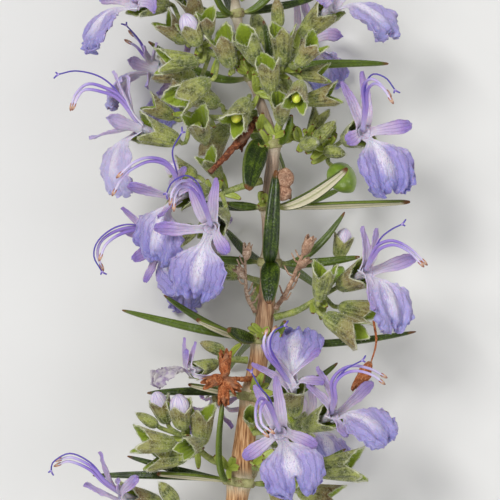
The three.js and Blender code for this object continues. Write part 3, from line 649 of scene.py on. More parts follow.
# The groove above is pressed in, the margins roll under, and the felt stands hollow beside the midrib.
for where, move in [
    (lambda x, y, z: (abs(x) < 0.1) & (y > 0.1), -0.16),
    (lambda x, y, z: abs(x) > 0.95 * leaf_half(z), -0.14),
    (lambda x, y, z: (y < -0.05) & (abs(x) > 0.5 * leaf_half(z)), -0.1),
    (lambda x, y, z: (abs(x) < 0.5 * leaf_half(z)) & (abs(x) > 0.1) & (y < -0.1), 0.14),
]:
    nudge(straight_leaf, where, (0, move, 0))
bract = copy_of(straight_leaf)
apply_modifier(straight_leaf, "SUBSURF", levels=1, render_levels=1)
for model in (straight_leaf, bract):
    unit = corners(model)
    share = unit[:, 0] / leaf_half(unit[:, 2])
    side_up = np.where((unit[:, 1] < -0.03) & (abs(share) < 0.8), -1, 1)
    note_place(model, share, unit[:, 2], side_up)

leaf_skin = leaf_finish("leaf", (18, 30, 3), (44, 62, 8), (104, 126, 34), (132, 146, 62))
straight_leaf.data.materials.append(leaf_skin)
young_skin = leaf_finish("young leaf", (84, 106, 24), (128, 148, 44), (170, 182, 82), (190, 196, 132))
bract.data.materials.append(young_skin)

bpy.ops.object.select_all(action="DESELECT")
bpy.ops.mesh.primitive_torus_add(major_segments=48, minor_segments=14, major_radius=1, minor_radius=0.25)
round_ring = bpy.context.object
round_ring.data.materials.append(leaf_base_finish())
note_place(round_ring, 0, 0, 0)

rng = random.Random(3)
for number, (height, leaves) in enumerate(WHORLS, 1):
    parts = []
    for count, (tip, half, *face) in enumerate(leaves):
        part = copy_of(straight_leaf)
        tint_part(part, 0 if half > BROAD else rng.random())
        places = corners(part)
        places[:, 0] *= half
        waves = ragged(places * (1, 0, 9), 0.8, number + 0.1 * count)
        places[:, 1] += LEAF_WAVE * waves * (1 - places[:, 2])
        move_corners(part, places)
        bend_along(part, leaf_way(height, tip), face[0] if face else (0, 0.15, 1))
        parts.append(part)
    ring = copy_of(round_ring)
    centre, radius = stem_at(height)
    axis = stem_at(height + COLLAR_REACH)[0] - stem_at(height - COLLAR_REACH)[0]
    places = corners(ring)
    places *= 1 + 0.12 * ragged(places, 0.4, number)[:, None]
    places *= (radius + RING_RADIUS, radius + RING_RADIUS, RING_STRETCH)
    turned = np.array(axis.to_track_quat("Z", "Y").to_matrix())
    move_corners(ring, places @ turned.T + np.array(centre))
    settle(f"leaves_{number:02d}", [*parts, ring], "leaf", f"leaf_whorl_{number:02d}")
put_away(round_ring)

# --- The calyces ------------------------------------------------------------------------------------------
# Each raceme is a thin downy axis with stalked calyces: open bells with one broad upper tooth and two
# pointed lower ones, ribbed and mealy outside and bright green inside, closed buds, and swollen green
# fruits. One of each kind is modelled upright, and each copy is turned into its place on its raceme.

# For each raceme, its axis, and its flowers from base to tip. A bloom has its calyx's base, its throat,
# where its upper lip is, and how far its lower lip is raised, in radians.
RACEMES = {
    "left_upper": {
        "axis": [(0.8, 16.4, 0.8), (-3.4, 15.8, 2), (-7, 16.2, 2.2)],
        "open": [
            ((-5.4, 13, 2.4), (-6.6, 16.2, 6.4)),
            ((-9, 15.8, 0.8), (-12.6, 17.8, 1.6)),
            ((-0.3, 18, 2.4), (-2.3, 14.3, 5.9)),
        ],
        "buds": [((-8.2, 17.2, 2.2), (-9.2, 20.4, 2.2))],
        "blooms": {
            "05": ((-8.4, 13, 2.2), (-13.9, 14.7, 4.4), (0, 1, 0), -0.35),
        },
    },
    "left_top": {
        "axis": [(-1.1, 22.3, 0.7), (-4.6, 23.6, 1.2), (-8, 26.4, 1.2)],
        "open": [
            ((-6.2, 22.6, 2), (-11.4, 22.4, 3.2)),
            ((-4.8, 20.2, 4), (-9.4, 17.3, 6.4)),
            ((-2.2, 21.8, 2.4), (-3.8, 26.2, 5)),
            ((-4.9, 25.6, 3), (-5.2, 28.4, 5.6)),
            ((-7.6, 24.8, 1.4), (-10.8, 27.8, 3)),
        ],
        "corolla_buds": [((-6.2, 24.4, 3.2), (-7.8, 28, 5.2))],
        "blooms": {
            "01": ((-9.8, 29.4, 0), (-14.2, 29.4, 4), (0.2, 1, 0), 0.4),
            "02": ((-5.8, 27.2, 0.2), (-7.8, 31, 2.4), (0.4, 0.5, -0.7), 0.5),
            "04": ((-6.6, 20.8, -1.6), (-11.8, 21.8, -2.4), (0.1, 1, -0.1), 0.4),
        },
    },
    "right_top": {
        "axis": [(1.3, 19.7, 0.9), (3.8, 21.2, 1.8), (5.6, 24, 1.8)],
        "open": [
            ((1, 22.2, 2.8), (-1, 26, 5.8)),
            ((3.9, 22, 2.4), (3.8, 27, 4)),
            ((2.6, 18.6, 3.4), (1.9, 23, 5.8)),
            ((3.7, 15.2, 2.2), (3.8, 18.4, 5.2)),
            ((6, 20, 3.8), (5.3, 16.8, 7.4)),
            ((6.4, 17.8, 1.4), (10.8, 18.7, 2.6)),
            ((5.8, 21, 2.2), (9.6, 21, 3.4)),
            ((5.6, 22, 5.2), (8.2, 25, 7.6)),
        ],
        "buds": [((3.4, 26.6, 0.6), (3.2, 30.2, 1.6))],
        "blooms": {
            "03": ((6.2, 25.6, 1.8), (10.2, 29.4, 4.6), (-0.45, 1, 0), 0.1),
        },
    },
    "right_upper": {
        "axis": [(3.2, 14.2, -0.4), (6.4, 13.2, -0.2), (9.8, 12.2, 0)],
        "open": [((7.2, 13.8, 0.6), (8.8, 17.2, 0.2))],
        "buds": [
            ((7.8, 13, 1.2), (10.2, 15.4, 3)),
            ((6.4, 12.6, 1), (8, 12.8, 4.6)),
            ((9, 12, 0.6), (11.4, 11.4, 3.2)),
        ],
        "fruits": [((9.8, 10.2, -1), (12.4, 7, -0.6))],
        "blooms": {
            "08": ((11.4, 13.2, -0.8), (13.8, 14.1, 4.9), (-0.22, 1, 0), 0),
        },
    },
    "left_middle": {
        "axis": [(1.4, 8.3, 0.6), (-1.6, 7.4, 1.4), (-4.4, 6.4, 1.2)],
        "open": [((-3.6, 8.6, 1.6), (-5.4, 11.6, 4))],
        "corolla_buds": [((-6.4, 8.8, -0.4), (-10.2, 10.2, 0))],
        "blooms": {
            "06": ((-5.2, 7.2, 1.6), (-9.2, 6.3, 6), (0.35, 1, 0), 0),
            "07": ((-3, 4.4, 4), (-4.9, 2.4, 9.6), (0.1, 1, 0.35), 0),
            "09": ((-6.6, 2.6, -3.6), (-10.4, 0.9, 0.2), (-0.9, 0.4, -0.2), 0.2),
        },
    },
    "right_middle": {
        "axis": [(2.9, -8.1, 0.8), (5.8, -7.2, 1), (8.8, -5.4, 0.8)],
        "open": [
            ((8.2, -6, 3), (9, -1.6, 5)),
            ((8.8, -7.8, 2.4), (13.8, -10.6, 4.2)),
            ((10.6, -6.8, 0.4), (15.4, -7.6, 1.4)),
        ],
        "corolla_buds": [((10.6, -1, -2.6), (11.6, 2.6, -2.2))],
        "fruits": [((10, -3.8, -1), (11.2, -2, -1.2))],
        "blooms": {
            "10": ((10.6, -4.4, 1.2), (14.3, -2.4, 5.6), (-0.15, 1, 0), -0.1),
        },
    },
    "front_lower": {
        "axis": [(0.4, -21.8, 1.4), (2.6, -21.6, 2.2), (5, -21, 2.2)],
        "open": [((0.2, -20.8, 1.9), (0.1, -19.4, 5))],
        "blooms": {
            "11": ((5.4, -19.8, 1.8), (4.9, -15.6, 5.4), (-0.15, -0.65, 0.75), 0.05),
            "12": ((2.8, -21.6, 4.8), (3.6, -21.5, 10.8), (-0.25, 1, 0), 0.1),
            "13": ((6.6, -21.2, 1), (10.3, -19.4, 5.2), (-0.45, 1, 0.1), 0.5),
        },
    },
    "left_lower": {
        "axis": [(-2.5, -26, 1), (-5, -24.8, 1.6), (-7.6, -22.4, 1.6)],
        "open": [
            ((-8.8, -23.2, 3.8), (-14, -22.5, 5.2)),
            ((-5.8, -22.8, 4.4), (-8, -23.6, 8)),
            ((-7.4, -24.6, 1.4), (-12.8, -25, 2.4)),
            ((-5.8, -23.4, 1.4), (-5.7, -18.4, 3.2)),
        ],
        "buds": [((-11, -21, 3), (-13.6, -19.4, 3.8))],
        "corolla_buds": [
            ((-9.8, -20.8, 0.2), (-11.4, -17, 0.8)),
            ((-8, -21.4, 2.6), (-8.6, -17.2, 4.4)),
        ],
    },
    "right_bottom": {
        "axis": [(0.3, -25.9, 1.1), (3, -26.4, 1.6), (6.4, -26.8, 1.4)],
        "open": [
            ((7.4, -26.2, 2.8), (13.8, -25.6, 4.4)),
            ((5.6, -28.8, 1.2), (11.2, -30, 1.6)),
            ((2.6, -28, 2.6), (4.4, -31, 5.4)),
        ],
    },
    "left_bottom": {
        "axis": [(-3.3, -31.4, 0.7), (-7, -31.4, 1.2), (-9.6, -30.8, 1)],
        "open": [((-9, -32.2, 1.2), (-12.2, -35.8, 2))],
        "buds": [((-8.8, -30.4, 2.2), (-10.8, -27.6, 4.6))],
        "blooms": {
            "14": ((-10.6, -30.4, 0.4), (-15.9, -29.4, 3.2), (-0.1, 1, -0.15), 0.1),
        },
    },
    "left_withered": {
        "axis": [(-0.3, -13.2, 1.1), (-2, -13.1, 1.4), (-3.6, -13.4, 1)],
        "buds": [((-3, -12.2, 2), (-6, -11, 3))],
        "blooms": {
            "15": ((-3.8, -13.4, 2.2), (-7.2, -14.6, 4.2), (0, 1, 0.2), 1.35),
            "16": ((-2.8, -15, -1.6), (-4.2, -18.6, -3.2), (0.6, -0.3, -0.7), 0.3),
        },
    },
    "back_upper": {
        "axis": [(0.3, 23, -1), (1.6, 23.2, -3), (2.8, 23.8, -4.4)],
        "open": [((2.6, 22.2, -4.4), (4.4, 18.8, -8))],
        "buds": [((1.6, 25.2, -3.8), (0.4, 29, -6.4))],
        "blooms": {
            "17": ((3.2, 24, -4.6), (6.6, 25.4, -8.8), (-0.2, 1, 0.2), 0.2),
        },
    },
    "back_left": {
        "axis": [(1.3, 15.6, -0.8), (-1.2, 16, -2.8), (-3.2, 16.8, -4)],
        "open": [((-2.8, 15.2, -4.2), (-5.2, 12, -8))],
        "blooms": {
            "18": ((-3.8, 17.6, -4.2), (-7.6, 19.4, -7.8), (0.2, 1, 0.2), 0.3),
        },
    },
    "back_lower": {
        "axis": [(2.2, -3.9, -1.4), (1, -3.7, -3.4), (-0.6, -3.2, -4.8)],
        "open": [((0.8, -4.9, -4.6), (2.2, -7.9, -8.6))],
        "blooms": {
            "19": ((-1.2, -3, -5), (-5, -1.8, -8.8), (0.2, 1, 0.2), 0.2),
        },
    },
    "back_bottom": {
        "axis": [(-0.5, -23.4, -1.6), (1.2, -23.2, -3.4), (3, -22.6, -4.6)],
        "open": [((1, -24.4, -4.6), (-0.8, -27.2, -8.4))],
        "blooms": {
            "20": ((3.4, -22.6, -5), (7.2, -21.4, -8.8), (-0.2, 1, 0.2), 0.2),
        },
    },
    "tip_right": {
        "axis": [(-1.2, 30.1, 0.8), (0.6, 31.4, 1.4), (2, 33, 1.8)],
        "open": [((2, 33.4, 2.2), (3.8, 37.6, 4.2))],
        "buds": [((0, 32.4, 2), (-0.6, 36.2, 4.4))],
    },
    "tip_left": {
        "axis": [(-2.7, 30.4, -0.1), (-4.4, 32, -1.4), (-5.2, 34.4, -2)],
        "open": [((-5.8, 34.6, -1.8), (-9, 38.2, -2))],
        "buds": [((-4.8, 35.4, -2.2), (-4.4, 39.4, -3.4))],
    },
}
CALYX_LENGTH = 5.9  # mm with its teeth
CALYX_TUBE = 3.9  # mm without them
CALYX_WALL = 0.16
CALYX_RIBS = 13
TEETH = [2.0, 1.1, 0, 2.0, 0.3]  # mm, how far the rim rises, by eighths of a turn from the upper tooth
TEETH_FOOT = 2.2  # mm above the base, where the rim's rise starts
BUD_LENGTH = 4.9
FRUIT_LENGTH = 4.4
NUTLET_RADIUS = 0.78
NUTLET_HEIGHT = 3.5  # mm above its calyx's base
SEEDED = [(5.3, 16.8, 7.4), (-2.3, 14.3, 5.9)]  # the mouths of the calyces with a ripening nutlet in sight
THROAT = 6.2  # mm from a calyx's base to its corolla's throat
AXIS_RADIUS = 0.46
STALK_RADIUS = 0.28
HAIR_LENGTH = 0.34
HAIR_RADIUS = 0.017


def widen(part, share):
    """Multiplies a part's width and depth, all along it or by one share for each vertex."""
    places = corners(part)
    places[:, :2] *= np.reshape(share, (-1, 1))
    move_corners(part, places)


def flower_frame(base, tip, length, up=None):
    """The turn, size and place of a flower: +Z along its axis and +Y towards its upper lip."""
    base, tip = Vector(base), Vector(tip)
    ahead = tip - base
    size = ahead.length / length
    ahead.normalize()
    side = Vector(up or (-0.25 * base.x, 1, -0.25 * base.z)).cross(ahead).normalized()
    turned = Matrix((side, ahead.cross(side), ahead)).transposed() * size
    return Matrix.Translation(base) @ turned.to_4x4()


def place_part(part, matrix):
    matrix = np.array(matrix)
    move_corners(part, corners(part) @ matrix[:3, :3].T + matrix[:3, 3])


def open_up(part):
    """Takes off a rod's last disc, which is its highest face."""
    heights = [polygon.center.z for polygon in part.data.polygons]
    pick(part, "FACE", [height == max(heights) for height in heights])
    bpy.ops.mesh.delete(type="ONLY_FACE")
    bpy.ops.object.mode_set(mode="OBJECT")


def wandering(tree, value, noise_value, amount):
    """A value that noise pushes up and down."""
    return plus(tree, value, times(tree, reckon(tree, "SUBTRACT", noise_value, 0.5), amount))


def deeper(colour, share):
    """A screen colour that gives back only a share of the light, as a linear colour."""
    return tuple(share * value for value in linear(*colour)[:3]) + (1.0,)


def calyx_finish():
    """Green and ribbed under white meal and glands outside, with a white margin of hairs and painted sheen, a
    flush of brown, and painted shade deep inside.
    """
    material, tree, shader = finish("calyx", Roughness=0.6, Sheen_Weight=0.35, Sheen_Roughness=0.5,
                                    Sheen_Tint=linear(226, 228, 204))
    spot = spot_on(tree)
    across, along, kind = own_place(tree)
    meal = down_on(tree, 4400, 0.56)
    mottle = cloud(tree, spot, 900, 5)
    glands = add_node(tree, "ShaderNodeTexVoronoi", {"Vector": spot, "Scale": 3800}).outputs[0]
    ribs = reckon(tree, "SINE", times(tree, across, CALYX_RIBS * math.pi))
    green = blend(tree, between(tree, mottle, 0.35, 0.65), (58, 74, 10), (148, 160, 34))
    green = lay(tree, green, (164, 172, 88), between(tree, ribs, 0.3, 1.0), 0.35)
    green = lay(tree, green, (64, 66, 24), between(tree, glands, 0.4, 0.2), 0.42)
    reach = wandering(tree, along, mottle, 0.9)
    brown = times(tree, between(tree, reach, 0.4, 0.9), tone_of(tree, kind))
    green = lay(tree, green, (118, 66, 40), brown, 0.8)
    young = without(tree, between(tree, reach, 0.0, 0.3))
    green = lay(tree, green, (150, 172, 70), young, 0.3)
    green = lay(tree, green, (206, 208, 156), meal["White"], 0.36)
    # Inside, the green is darker deeper down the cup: painted shade.
    hollow = blend(tree, between(tree, along, 0.3, 0.9), deeper((138, 158, 36), 0.6), (138, 158, 36))
    colour = blend(tree, between(tree, kind, -0.4, 0.4), hollow, green)
    # A pale rim along the teeth: partly the white edge hairs' own colour, partly painted sheen where they
    # catch the light edge-on, stronger in some places than others.
    rim_hair_and_sheen = plus(tree, 0.15, times(tree, between(tree, mottle, 0.36, 0.62), 0.6))
    colour = lay(tree, colour, (216, 214, 190), between(tree, along, 0.965, 0.992), rim_hair_and_sheen)
    tree.links.new(colour, shader.inputs["Base Color"])
    relief(tree, shader, (ribs, 0.35, 0.12), (glands, 0.6, 0.11), (meal["Height"], 0.4, 0.08))
    return material


def corolla_bud_finish():
    """Pale lilac with fine darker lines along it, and slightly translucent."""
    material, tree, shader = finish("folded corolla", Roughness=0.55, Subsurface_Weight=0.2,
                                    Subsurface_Scale=0.0004)
    across, along, _ = own_place(tree)
    across = times(tree, across, 22.0)
    stretched = add_node(tree, "ShaderNodeCombineXYZ", {"X": across, "Y": along}).outputs[0]
    lines = cloud(tree, stretched, 1.4, 3)
    patches = cloud(tree, spot_on(tree), 700, 3)
    colour = ramp(tree, lines, (0.35, (168, 148, 200)), (0.5, (218, 208, 228)), (0.7, (238, 232, 238)))
    colour = blend(tree, between(tree, patches, 0.5, 0.7), colour, (206, 186, 216))
    tree.links.new(colour, shader.inputs["Base Color"])
    relief(tree, shader, (lines, 0.4, 0.1))
    return material


def fruit_finish():
    material, tree, shader = finish("fruit", Roughness=0.3, Coat_Weight=0.3)
    mottle = cloud(tree, spot_on(tree), 1300, 5)
    tree.links.new(blend(tree, mottle, (84, 116, 26), (158, 182, 74)), shader.inputs["Base Color"])
    relief(tree, shader, (mottle, 0.3, 0.1))
    return material


def nutlet_finish():
    material, tree, shader = finish("nutlet", Roughness=0.35, Subsurface_Weight=0.3, Subsurface_Scale=0.0006)
    mottle = cloud(tree, spot_on(tree), 1600, 3)
    tree.links.new(blend(tree, mottle, (228, 236, 48), (248, 248, 120)), shader.inputs["Base Color"])
    return material


calyx_skin = calyx_finish()
corolla_bud_skin = corolla_bud_finish()
hair_skin = finish("white down", Base_Color=linear(226, 226, 208), Roughness=0.7)[0]


def hairs_on(part, count, length, seed, able=None):
    """A part of short pointed hairs, which stand on another part's outside or on its able vertices."""
    rng = np.random.default_rng(seed)
    normals = np.empty(len(part.data.vertices) * 3)
    part.data.vertices.foreach_get("normal", normals)
    normals = normals.reshape(-1, 3)
    places = corners(part)
    picked = rng.choice(np.arange(len(places)) if able is None else able, count)
    roots = places[picked] + rng.normal(0, 0.07, (count, 3))
    leaning = normals[picked] + rng.normal(0, 0.45, (count, 3))
    leaning /= np.linalg.norm(leaning, axis=1, keepdims=True)
    sides = np.cross(leaning, rng.normal(0, 1, (count, 3)))
    sides /= np.linalg.norm(sides, axis=1, keepdims=True)
    others = np.cross(leaning, sides)
    reach = length * rng.uniform(0.5, 1.2, (count, 1))
    ring = [roots + HAIR_RADIUS * (sides * math.cos(a) + others * math.sin(a)) for a in (0, 2.1, 4.2)]
    points = np.concatenate([*ring, roots + leaning * reach])
    first = np.arange(count)
    faces = np.concatenate([np.stack([first + a * count, first + b * count, first + 3 * count], 1)
                            for a, b in ((0, 1), (1, 2), (2, 0))])
    mesh = bpy.data.meshes.new("hairs")
    mesh.from_pydata(points.tolist(), [], faces.tolist())
    hairs = bpy.data.objects.new("hairs", mesh)
    bpy.context.collection.objects.link(hairs)
    mesh.materials.append(hair_skin)
    note_place(hairs, 0, 0, 0)
    return hairs


def turn_of(places):
    """The turn of each place about +Z, from +Y, in radians."""
    return np.arctan2(places[:, 0], places[:, 1])


def straight_open_calyx():
    stations = [(0.0, 0.3), (0.15, 0.52), (0.35, 0.74), (0.7, 0.95), (1.1, 1.08), (1.6, 1.2), (2.1, 1.3),
                (2.5, 1.37), (2.8, 1.42), (3.1, 1.46), (3.3, 1.49), (3.5, 1.51), (3.65, 1.52), (3.76, 1.53),
                (3.84, 1.54), (CALYX_TUBE, 1.55)]
    calyx = straight_rod("open calyx", 44, stations)
    open_up(calyx)
    places = corners(calyx)
    turn = turn_of(places)
    along = places[:, 2] / CALYX_TUBE
    rise = np.interp(abs(turn), np.linspace(0, math.pi, 5), TEETH)
    eased = np.clip((places[:, 2] - TEETH_FOOT) / (CALYX_TUBE - TEETH_FOOT), 0, 1) ** 1.5
    ribbed = 1 + 0.035 * np.cos(CALYX_RIBS * turn) * np.clip(places[:, 2], 0, 1)
    flare = ribbed * (1 + 0.1 * rise * eased + 0.05 * rise * eased**4)
    places[:, :2] *= flare[:, None]
    places[:, 2] += rise * eased
    move_corners(calyx, places)
    outer = len(places)
    apply_modifier(calyx, "SOLIDIFY", thickness=CALYX_WALL, offset=-1)
    kind = np.repeat([1.0, -1.0], outer)
    along = np.tile(along, 2)
    note_place(calyx, np.tile(turn / math.pi, 2), along, kind)
    calyx.data.materials.append(calyx_skin)
    outside = hairs_on(calyx, 330, HAIR_LENGTH, 11, np.arange(outer))
    fringe = hairs_on(calyx, 180, 0.8 * HAIR_LENGTH, 14, np.flatnonzero(along > 0.97))
    return gather([calyx, outside, fringe])


def straight_bud():
    stations = [(0.0, 0.3), (0.25, 0.62), (0.6, 0.88), (1.1, 1.04), (1.8, 1.08), (2.6, 1.02), (3.3, 0.9),
                (3.9, 0.7), (4.4, 0.44), (4.75, 0.2), (BUD_LENGTH, 0.06)]
    bud = straight_rod("bud", 30, stations)
    places = corners(bud)
    turn = turn_of(places)
    seam = np.clip(places[:, 2] - 2.4, 0, 1.6) * 0.07
    widen(bud, 1 + 0.03 * np.cos(CALYX_RIBS * turn) - seam * np.exp(-((np.cos(1.5 * turn)) ** 2) * 14))
    note_place(bud, turn / math.pi, places[:, 2] / BUD_LENGTH, 1)
    bud.data.materials.append(calyx_skin)
    return gather([bud, hairs_on(bud, 260, HAIR_LENGTH, 12)])


def straight_corolla_bud():
    """A calyx that still holds a folded corolla, which stands out of it as a pale lilac dome."""
    calyx = copy_of(HEADS["open"][0])
    calyx.data.materials.append(corolla_bud_skin)
    places = corners(calyx)
    places[:, :2] *= (1 - 0.12 * np.clip(places[:, 2] / CALYX_LENGTH, 0, 1))[:, None]
    places[:, 2] *= 0.68
    move_corners(calyx, places)
    stations = [(0.6, 0.5), (1.4, 0.98), (2.2, 1.22), (3.0, 1.3), (3.6, 1.24), (4.1, 1.08), (4.5, 0.8),
                (4.75, 0.5), (BUD_LENGTH, 0.1)]
    dome = straight_rod("folded corolla", 36, stations)
    places = corners(dome)
    turn = turn_of(places)
    seam = sum(np.exp(-((np.angle(np.exp(1j * (turn - 0.5 * places[:, 2] - middle))) / 0.16) ** 2))
               for middle in (0, 2.2, 4.1))
    widen(dome, 1 - 0.1 * seam * np.clip(places[:, 2] - 2, 0, 1) + 0.06 * ragged(places, 0.9, 8))
    note_place(dome, turn / math.pi, places[:, 2] / BUD_LENGTH, 0)
    dome.data.materials.append(corolla_bud_skin)
    return gather([calyx, dome])


def straight_fruit():
    stations = [(0.0, 0.35), (0.25, 0.9), (0.6, 1.3), (1.2, 1.66), (1.9, 1.78), (2.6, 1.7), (3.2, 1.45),
                (3.7, 1.1), (4.1, 0.65), (4.3, 0.35), (FRUIT_LENGTH, 0.1)]
    fruit = straight_rod("fruit", 30, stations)
    places = corners(fruit)
    turn = turn_of(places)
    widen(fruit, 1 + 0.035 * np.cos(4 * turn))
    note_place(fruit, turn / math.pi, places[:, 2] / FRUIT_LENGTH, 1)
    fruit.data.materials.append(fruit_finish())
    return fruit


# Each kind of flower has its upright model and its length. A bloom's calyx is an open one round its tube.
HEADS = {"open": (straight_open_calyx(), CALYX_LENGTH)}
HEADS["buds"] = (straight_bud(), BUD_LENGTH)
HEADS["corolla_buds"] = (straight_corolla_bud(), BUD_LENGTH)
HEADS["fruits"] = (straight_fruit(), FRUIT_LENGTH)
HEADS["blooms"] = (None, THROAT)

bpy.ops.object.select_all(action="DESELECT")
bpy.ops.mesh.primitive_uv_sphere_add(segments=20, ring_count=12, radius=NUTLET_RADIUS)
nutlet = bpy.context.object
nutlet.name = "nutlet"
move_corners(nutlet, corners(nutlet) * (1, 0.9, 1.25) + (0, 0.1, NUTLET_HEIGHT))
note_place(nutlet, 0, 0.5, 1)
nutlet.data.materials.append(nutlet_finish())

thin_stalk = even_rod("stalk", 8, 8)
raceme_axis = even_rod("raceme axis", 12, 24)
for model in (thin_stalk, raceme_axis):
    note_place(model, 0, corners(model)[:, 2] * 0.3, 0.5)
    model.data.materials.append(calyx_skin)


def young_leaf(foot, towards, rng, length=2.5):
    """A young leaf or bract that stands off an axis, beside a stalk."""
    foot = Vector(foot)
    aside = Vector([rng.uniform(-1, 1) for _ in range(3)])
    heading = ((Vector(towards) - foot).normalized() + 0.8 * aside + Vector((0, 0, 0.35))).normalized()
    length *= rng.uniform(0.75, 1.25)
    leaf = copy_of(bract)
    places = corners(leaf)
    places[:, :2] *= (rng.uniform(0.42, 0.62), 0.42)
    move_corners(leaf, places)
    curl = Vector([rng.uniform(-0.4, 0.4) for _ in range(3)])
    middle = foot + 0.5 * length * heading + 0.5 * curl
    bend_along(leaf, smooth_route([foot - 0.2 * heading, middle, foot + length * heading], 16), (0.1, 0.3, 1))
    return leaf


def stalked_head(model, matrix, foot, wobble_seed, seeded, rng):
    """A flower's head in its place, and the stalk that carries it from a foot on the raceme's axis."""
    head = copy_of(model)
    widen(head, 1 + 0.06 * ragged(corners(head), 2.2, wobble_seed))
    tint_part(head, rng.random())
    if seeded:
        head = gather([head, copy_of(nutlet)])
    place_part(head, matrix)
    stalk = copy_of(thin_stalk)
    widen(stalk, STALK_RADIUS)
    below = matrix @ Vector((0, 0, -0.8))
    bend_along(stalk, smooth_route([foot, below, matrix @ Vector((0, 0, 0.15))], 12), (0.3, 0.2, 1))
    return [head, stalk], below


rng = random.Random(5)
for name, plan in RACEMES.items():
    spine = smooth_route(plan["axis"], 24)
    axis_part = copy_of(raceme_axis)
    places = corners(axis_part)
    knobs = ragged(places * (1, 1, 6), 1, 3)
    widen(axis_part, AXIS_RADIUS * (1 - 0.3 * places[:, 2]) * (1 + 0.12 * knobs))
    bend_along(axis_part, spine, (0.11, 0.13, 1))
    parts = [axis_part, hairs_on(axis_part, 60, HAIR_LENGTH, 21)]
    for kind, (model, length) in HEADS.items():
        flowers = plan.get(kind, {})
        for flower in flowers.values() if kind == "blooms" else flowers:
            base, tip, up = (*flower[:3], None)[:3]
            matrix = flower_frame(base, tip, length, up)
            foot = spine[np.argmin(np.linalg.norm(spine - np.array(base), axis=1))]
            model = model or HEADS["open"][0]
            head, below = stalked_head(model, matrix, foot, len(parts) + base[0], tip in SEEDED, rng)
            parts += head
            if kind != "blooms" or base[2] > 0:
                parts.append(young_leaf(foot, below, rng))
    settle(f"calyces_{name}", parts, "calyx", f"raceme_{name}")

# --- The young leaves -------------------------------------------------------------------------------------
# Tufts of small pale green leaves in the axils, too young to have spread. Each is a copy of the bract that
# stands beside a stalk, and all of them make one piece.

# For each tuft, its foot, its heading, how many leaves it has, and their length in mm.
TUFTS = [
    ((7, 13, 0.2), (0.4, 0.9, 0.5), 9, 3),
    ((9.2, 12.4, 0.3), (0.1, 1, 0.6), 8, 2.6),
    ((6, 13.4, 0), (-0.6, 1, 0.4), 5, 2.4),
    ((2.1, 12.9, 0.9), (-0.8, 0.2, 0.6), 4, 2),
    ((0.4, 20.6, 0.8), (-0.6, 0.8, 0.6), 5, 2.6),
    ((-0.6, 22.6, 0.7), (0.4, 0.9, 0.6), 5, 2.4),
    ((2.6, -10.6, 1.2), (0.9, 0.7, 0.6), 5, 2.6),
    ((1.7, 5.6, 1), (-0.9, 0.7, 0.5), 5, 2.2),
    ((-2.4, -26.2, 1.4), (-0.6, 0.9, 0.5), 5, 2.8),
    ((0.5, -25.6, 1.2), (0.8, 0.6, 0.6), 4, 2.6),
    ((1.3, 14.4, 0.8), (-0.8, 1, 0.3), 6, 3.4),
    ((2.9, 13.6, 0.6), (0.9, 1, 0.3), 6, 3.4),
    ((0.7, 19, 0.7), (0.9, 0.8, 0.4), 6, 3),
    ((0.2, 21.6, 0.7), (-0.9, 0.7, 0.5), 6, 3.2),
    ((-0.8, 24.6, 0.6), (0.5, 1, 0.4), 6, 3),
    ((0.2, -16.8, 1.2), (0.8, 0.8, 0.5), 5, 2.8),
    ((1.5, -10, 1), (-0.8, 0.8, 0.5), 5, 2.6),
]
tuft_leaves = []
for foot, heading, count, length in TUFTS:
    for _ in range(count):
        spread = Vector([rng.uniform(-0.6, 0.6) for _ in range(3)])
        ahead = (Vector(heading).normalized() + spread).normalized()
        tuft_leaves.append(young_leaf(foot, Vector(foot) + ahead, rng, length * rng.uniform(0.6, 1.1)))
settle("young_leaves", tuft_leaves, "leaf")

# --- The blooms -------------------------------------------------------------------------------------------
# A lilac corolla stands in the calyx of each bloom: a short pale tube, two pinkish ears above, a strap at
# each side, and a broad waved lower lip with a white stripe. Two arched stamens and a thin violet style
# stand out of the throat. Each petal is modelled flat and straight, and each copy is waved and then bent.

# In a flower's frame, in mm: +Z out of the calyx and +Y towards the ears. Each right-hand part is mirrored.
# The tube is (z, radius), and an outline is (z, half width) from a petal's base, at 0, to its tip, at 1.
TUBE = [(2.6, 0.42), (3.4, 0.5), (4.2, 0.56), (4.8, 0.64), (5.2, 0.73), (5.5, 0.8), (5.62, 0.83),
        (5.64, 0.75), (5.45, 0.55), (5.1, 0.38), (4.5, 0.15)]  # to the throat's rim, and back down into it
EAR_WAY = [(0.4, 0.74, 5.3), (0.9, 2.8, 6.9), (1.3, 5, 6.9), (2, 7, 6)]
EAR_OUTLINE = [(0, 0.72), (0.08, 0.62), (0.2, 0.66), (0.38, 0.68), (0.55, 0.62), (0.75, 0.52), (0.9, 0.38),
               (0.97, 0.24), (1, 0.08)]
STRAP_WAY = [(0.8, -0.12, 5.3), (2.6, 0.3, 7.2), (4.1, 0.4, 7.3), (5.4, 0, 6.8)]
STRAP_OUTLINE = [(0, 0.72), (0.1, 0.56), (0.22, 0.52), (0.4, 0.64), (0.6, 0.82), (0.78, 0.86), (0.9, 0.68),
                 (0.97, 0.42), (1, 0.12)]
LIP_WAY = [(0, -0.78, 5.2), (0, -1.7, 7.4), (0, -3.8, 8.5), (0, -6.3, 8.7), (0, -8.1, 7.9)]
LIP_OUTLINE = [(0, 0.95), (0.07, 0.74), (0.15, 0.66), (0.23, 0.9), (0.31, 1.7), (0.38, 2.8), (0.46, 3.6),
               (0.56, 3.95), (0.68, 3.9), (0.8, 3.6), (0.9, 3.0), (0.96, 2.3), (1, 1.6)]
LIP_HINGE = Vector((0, -0.4, 5.7))
STAMEN_WAY = [(0.3, 0.4, 5.6), (0.35, 3, 8.2), (0.45, 5.2, 10), (0.6, 2.8, 13.2)]
STYLE_WAY = [(0, 0.2, 5.6), (0, 3, 8.8), (0, 6, 11), (0, 6.2, 14.8)]
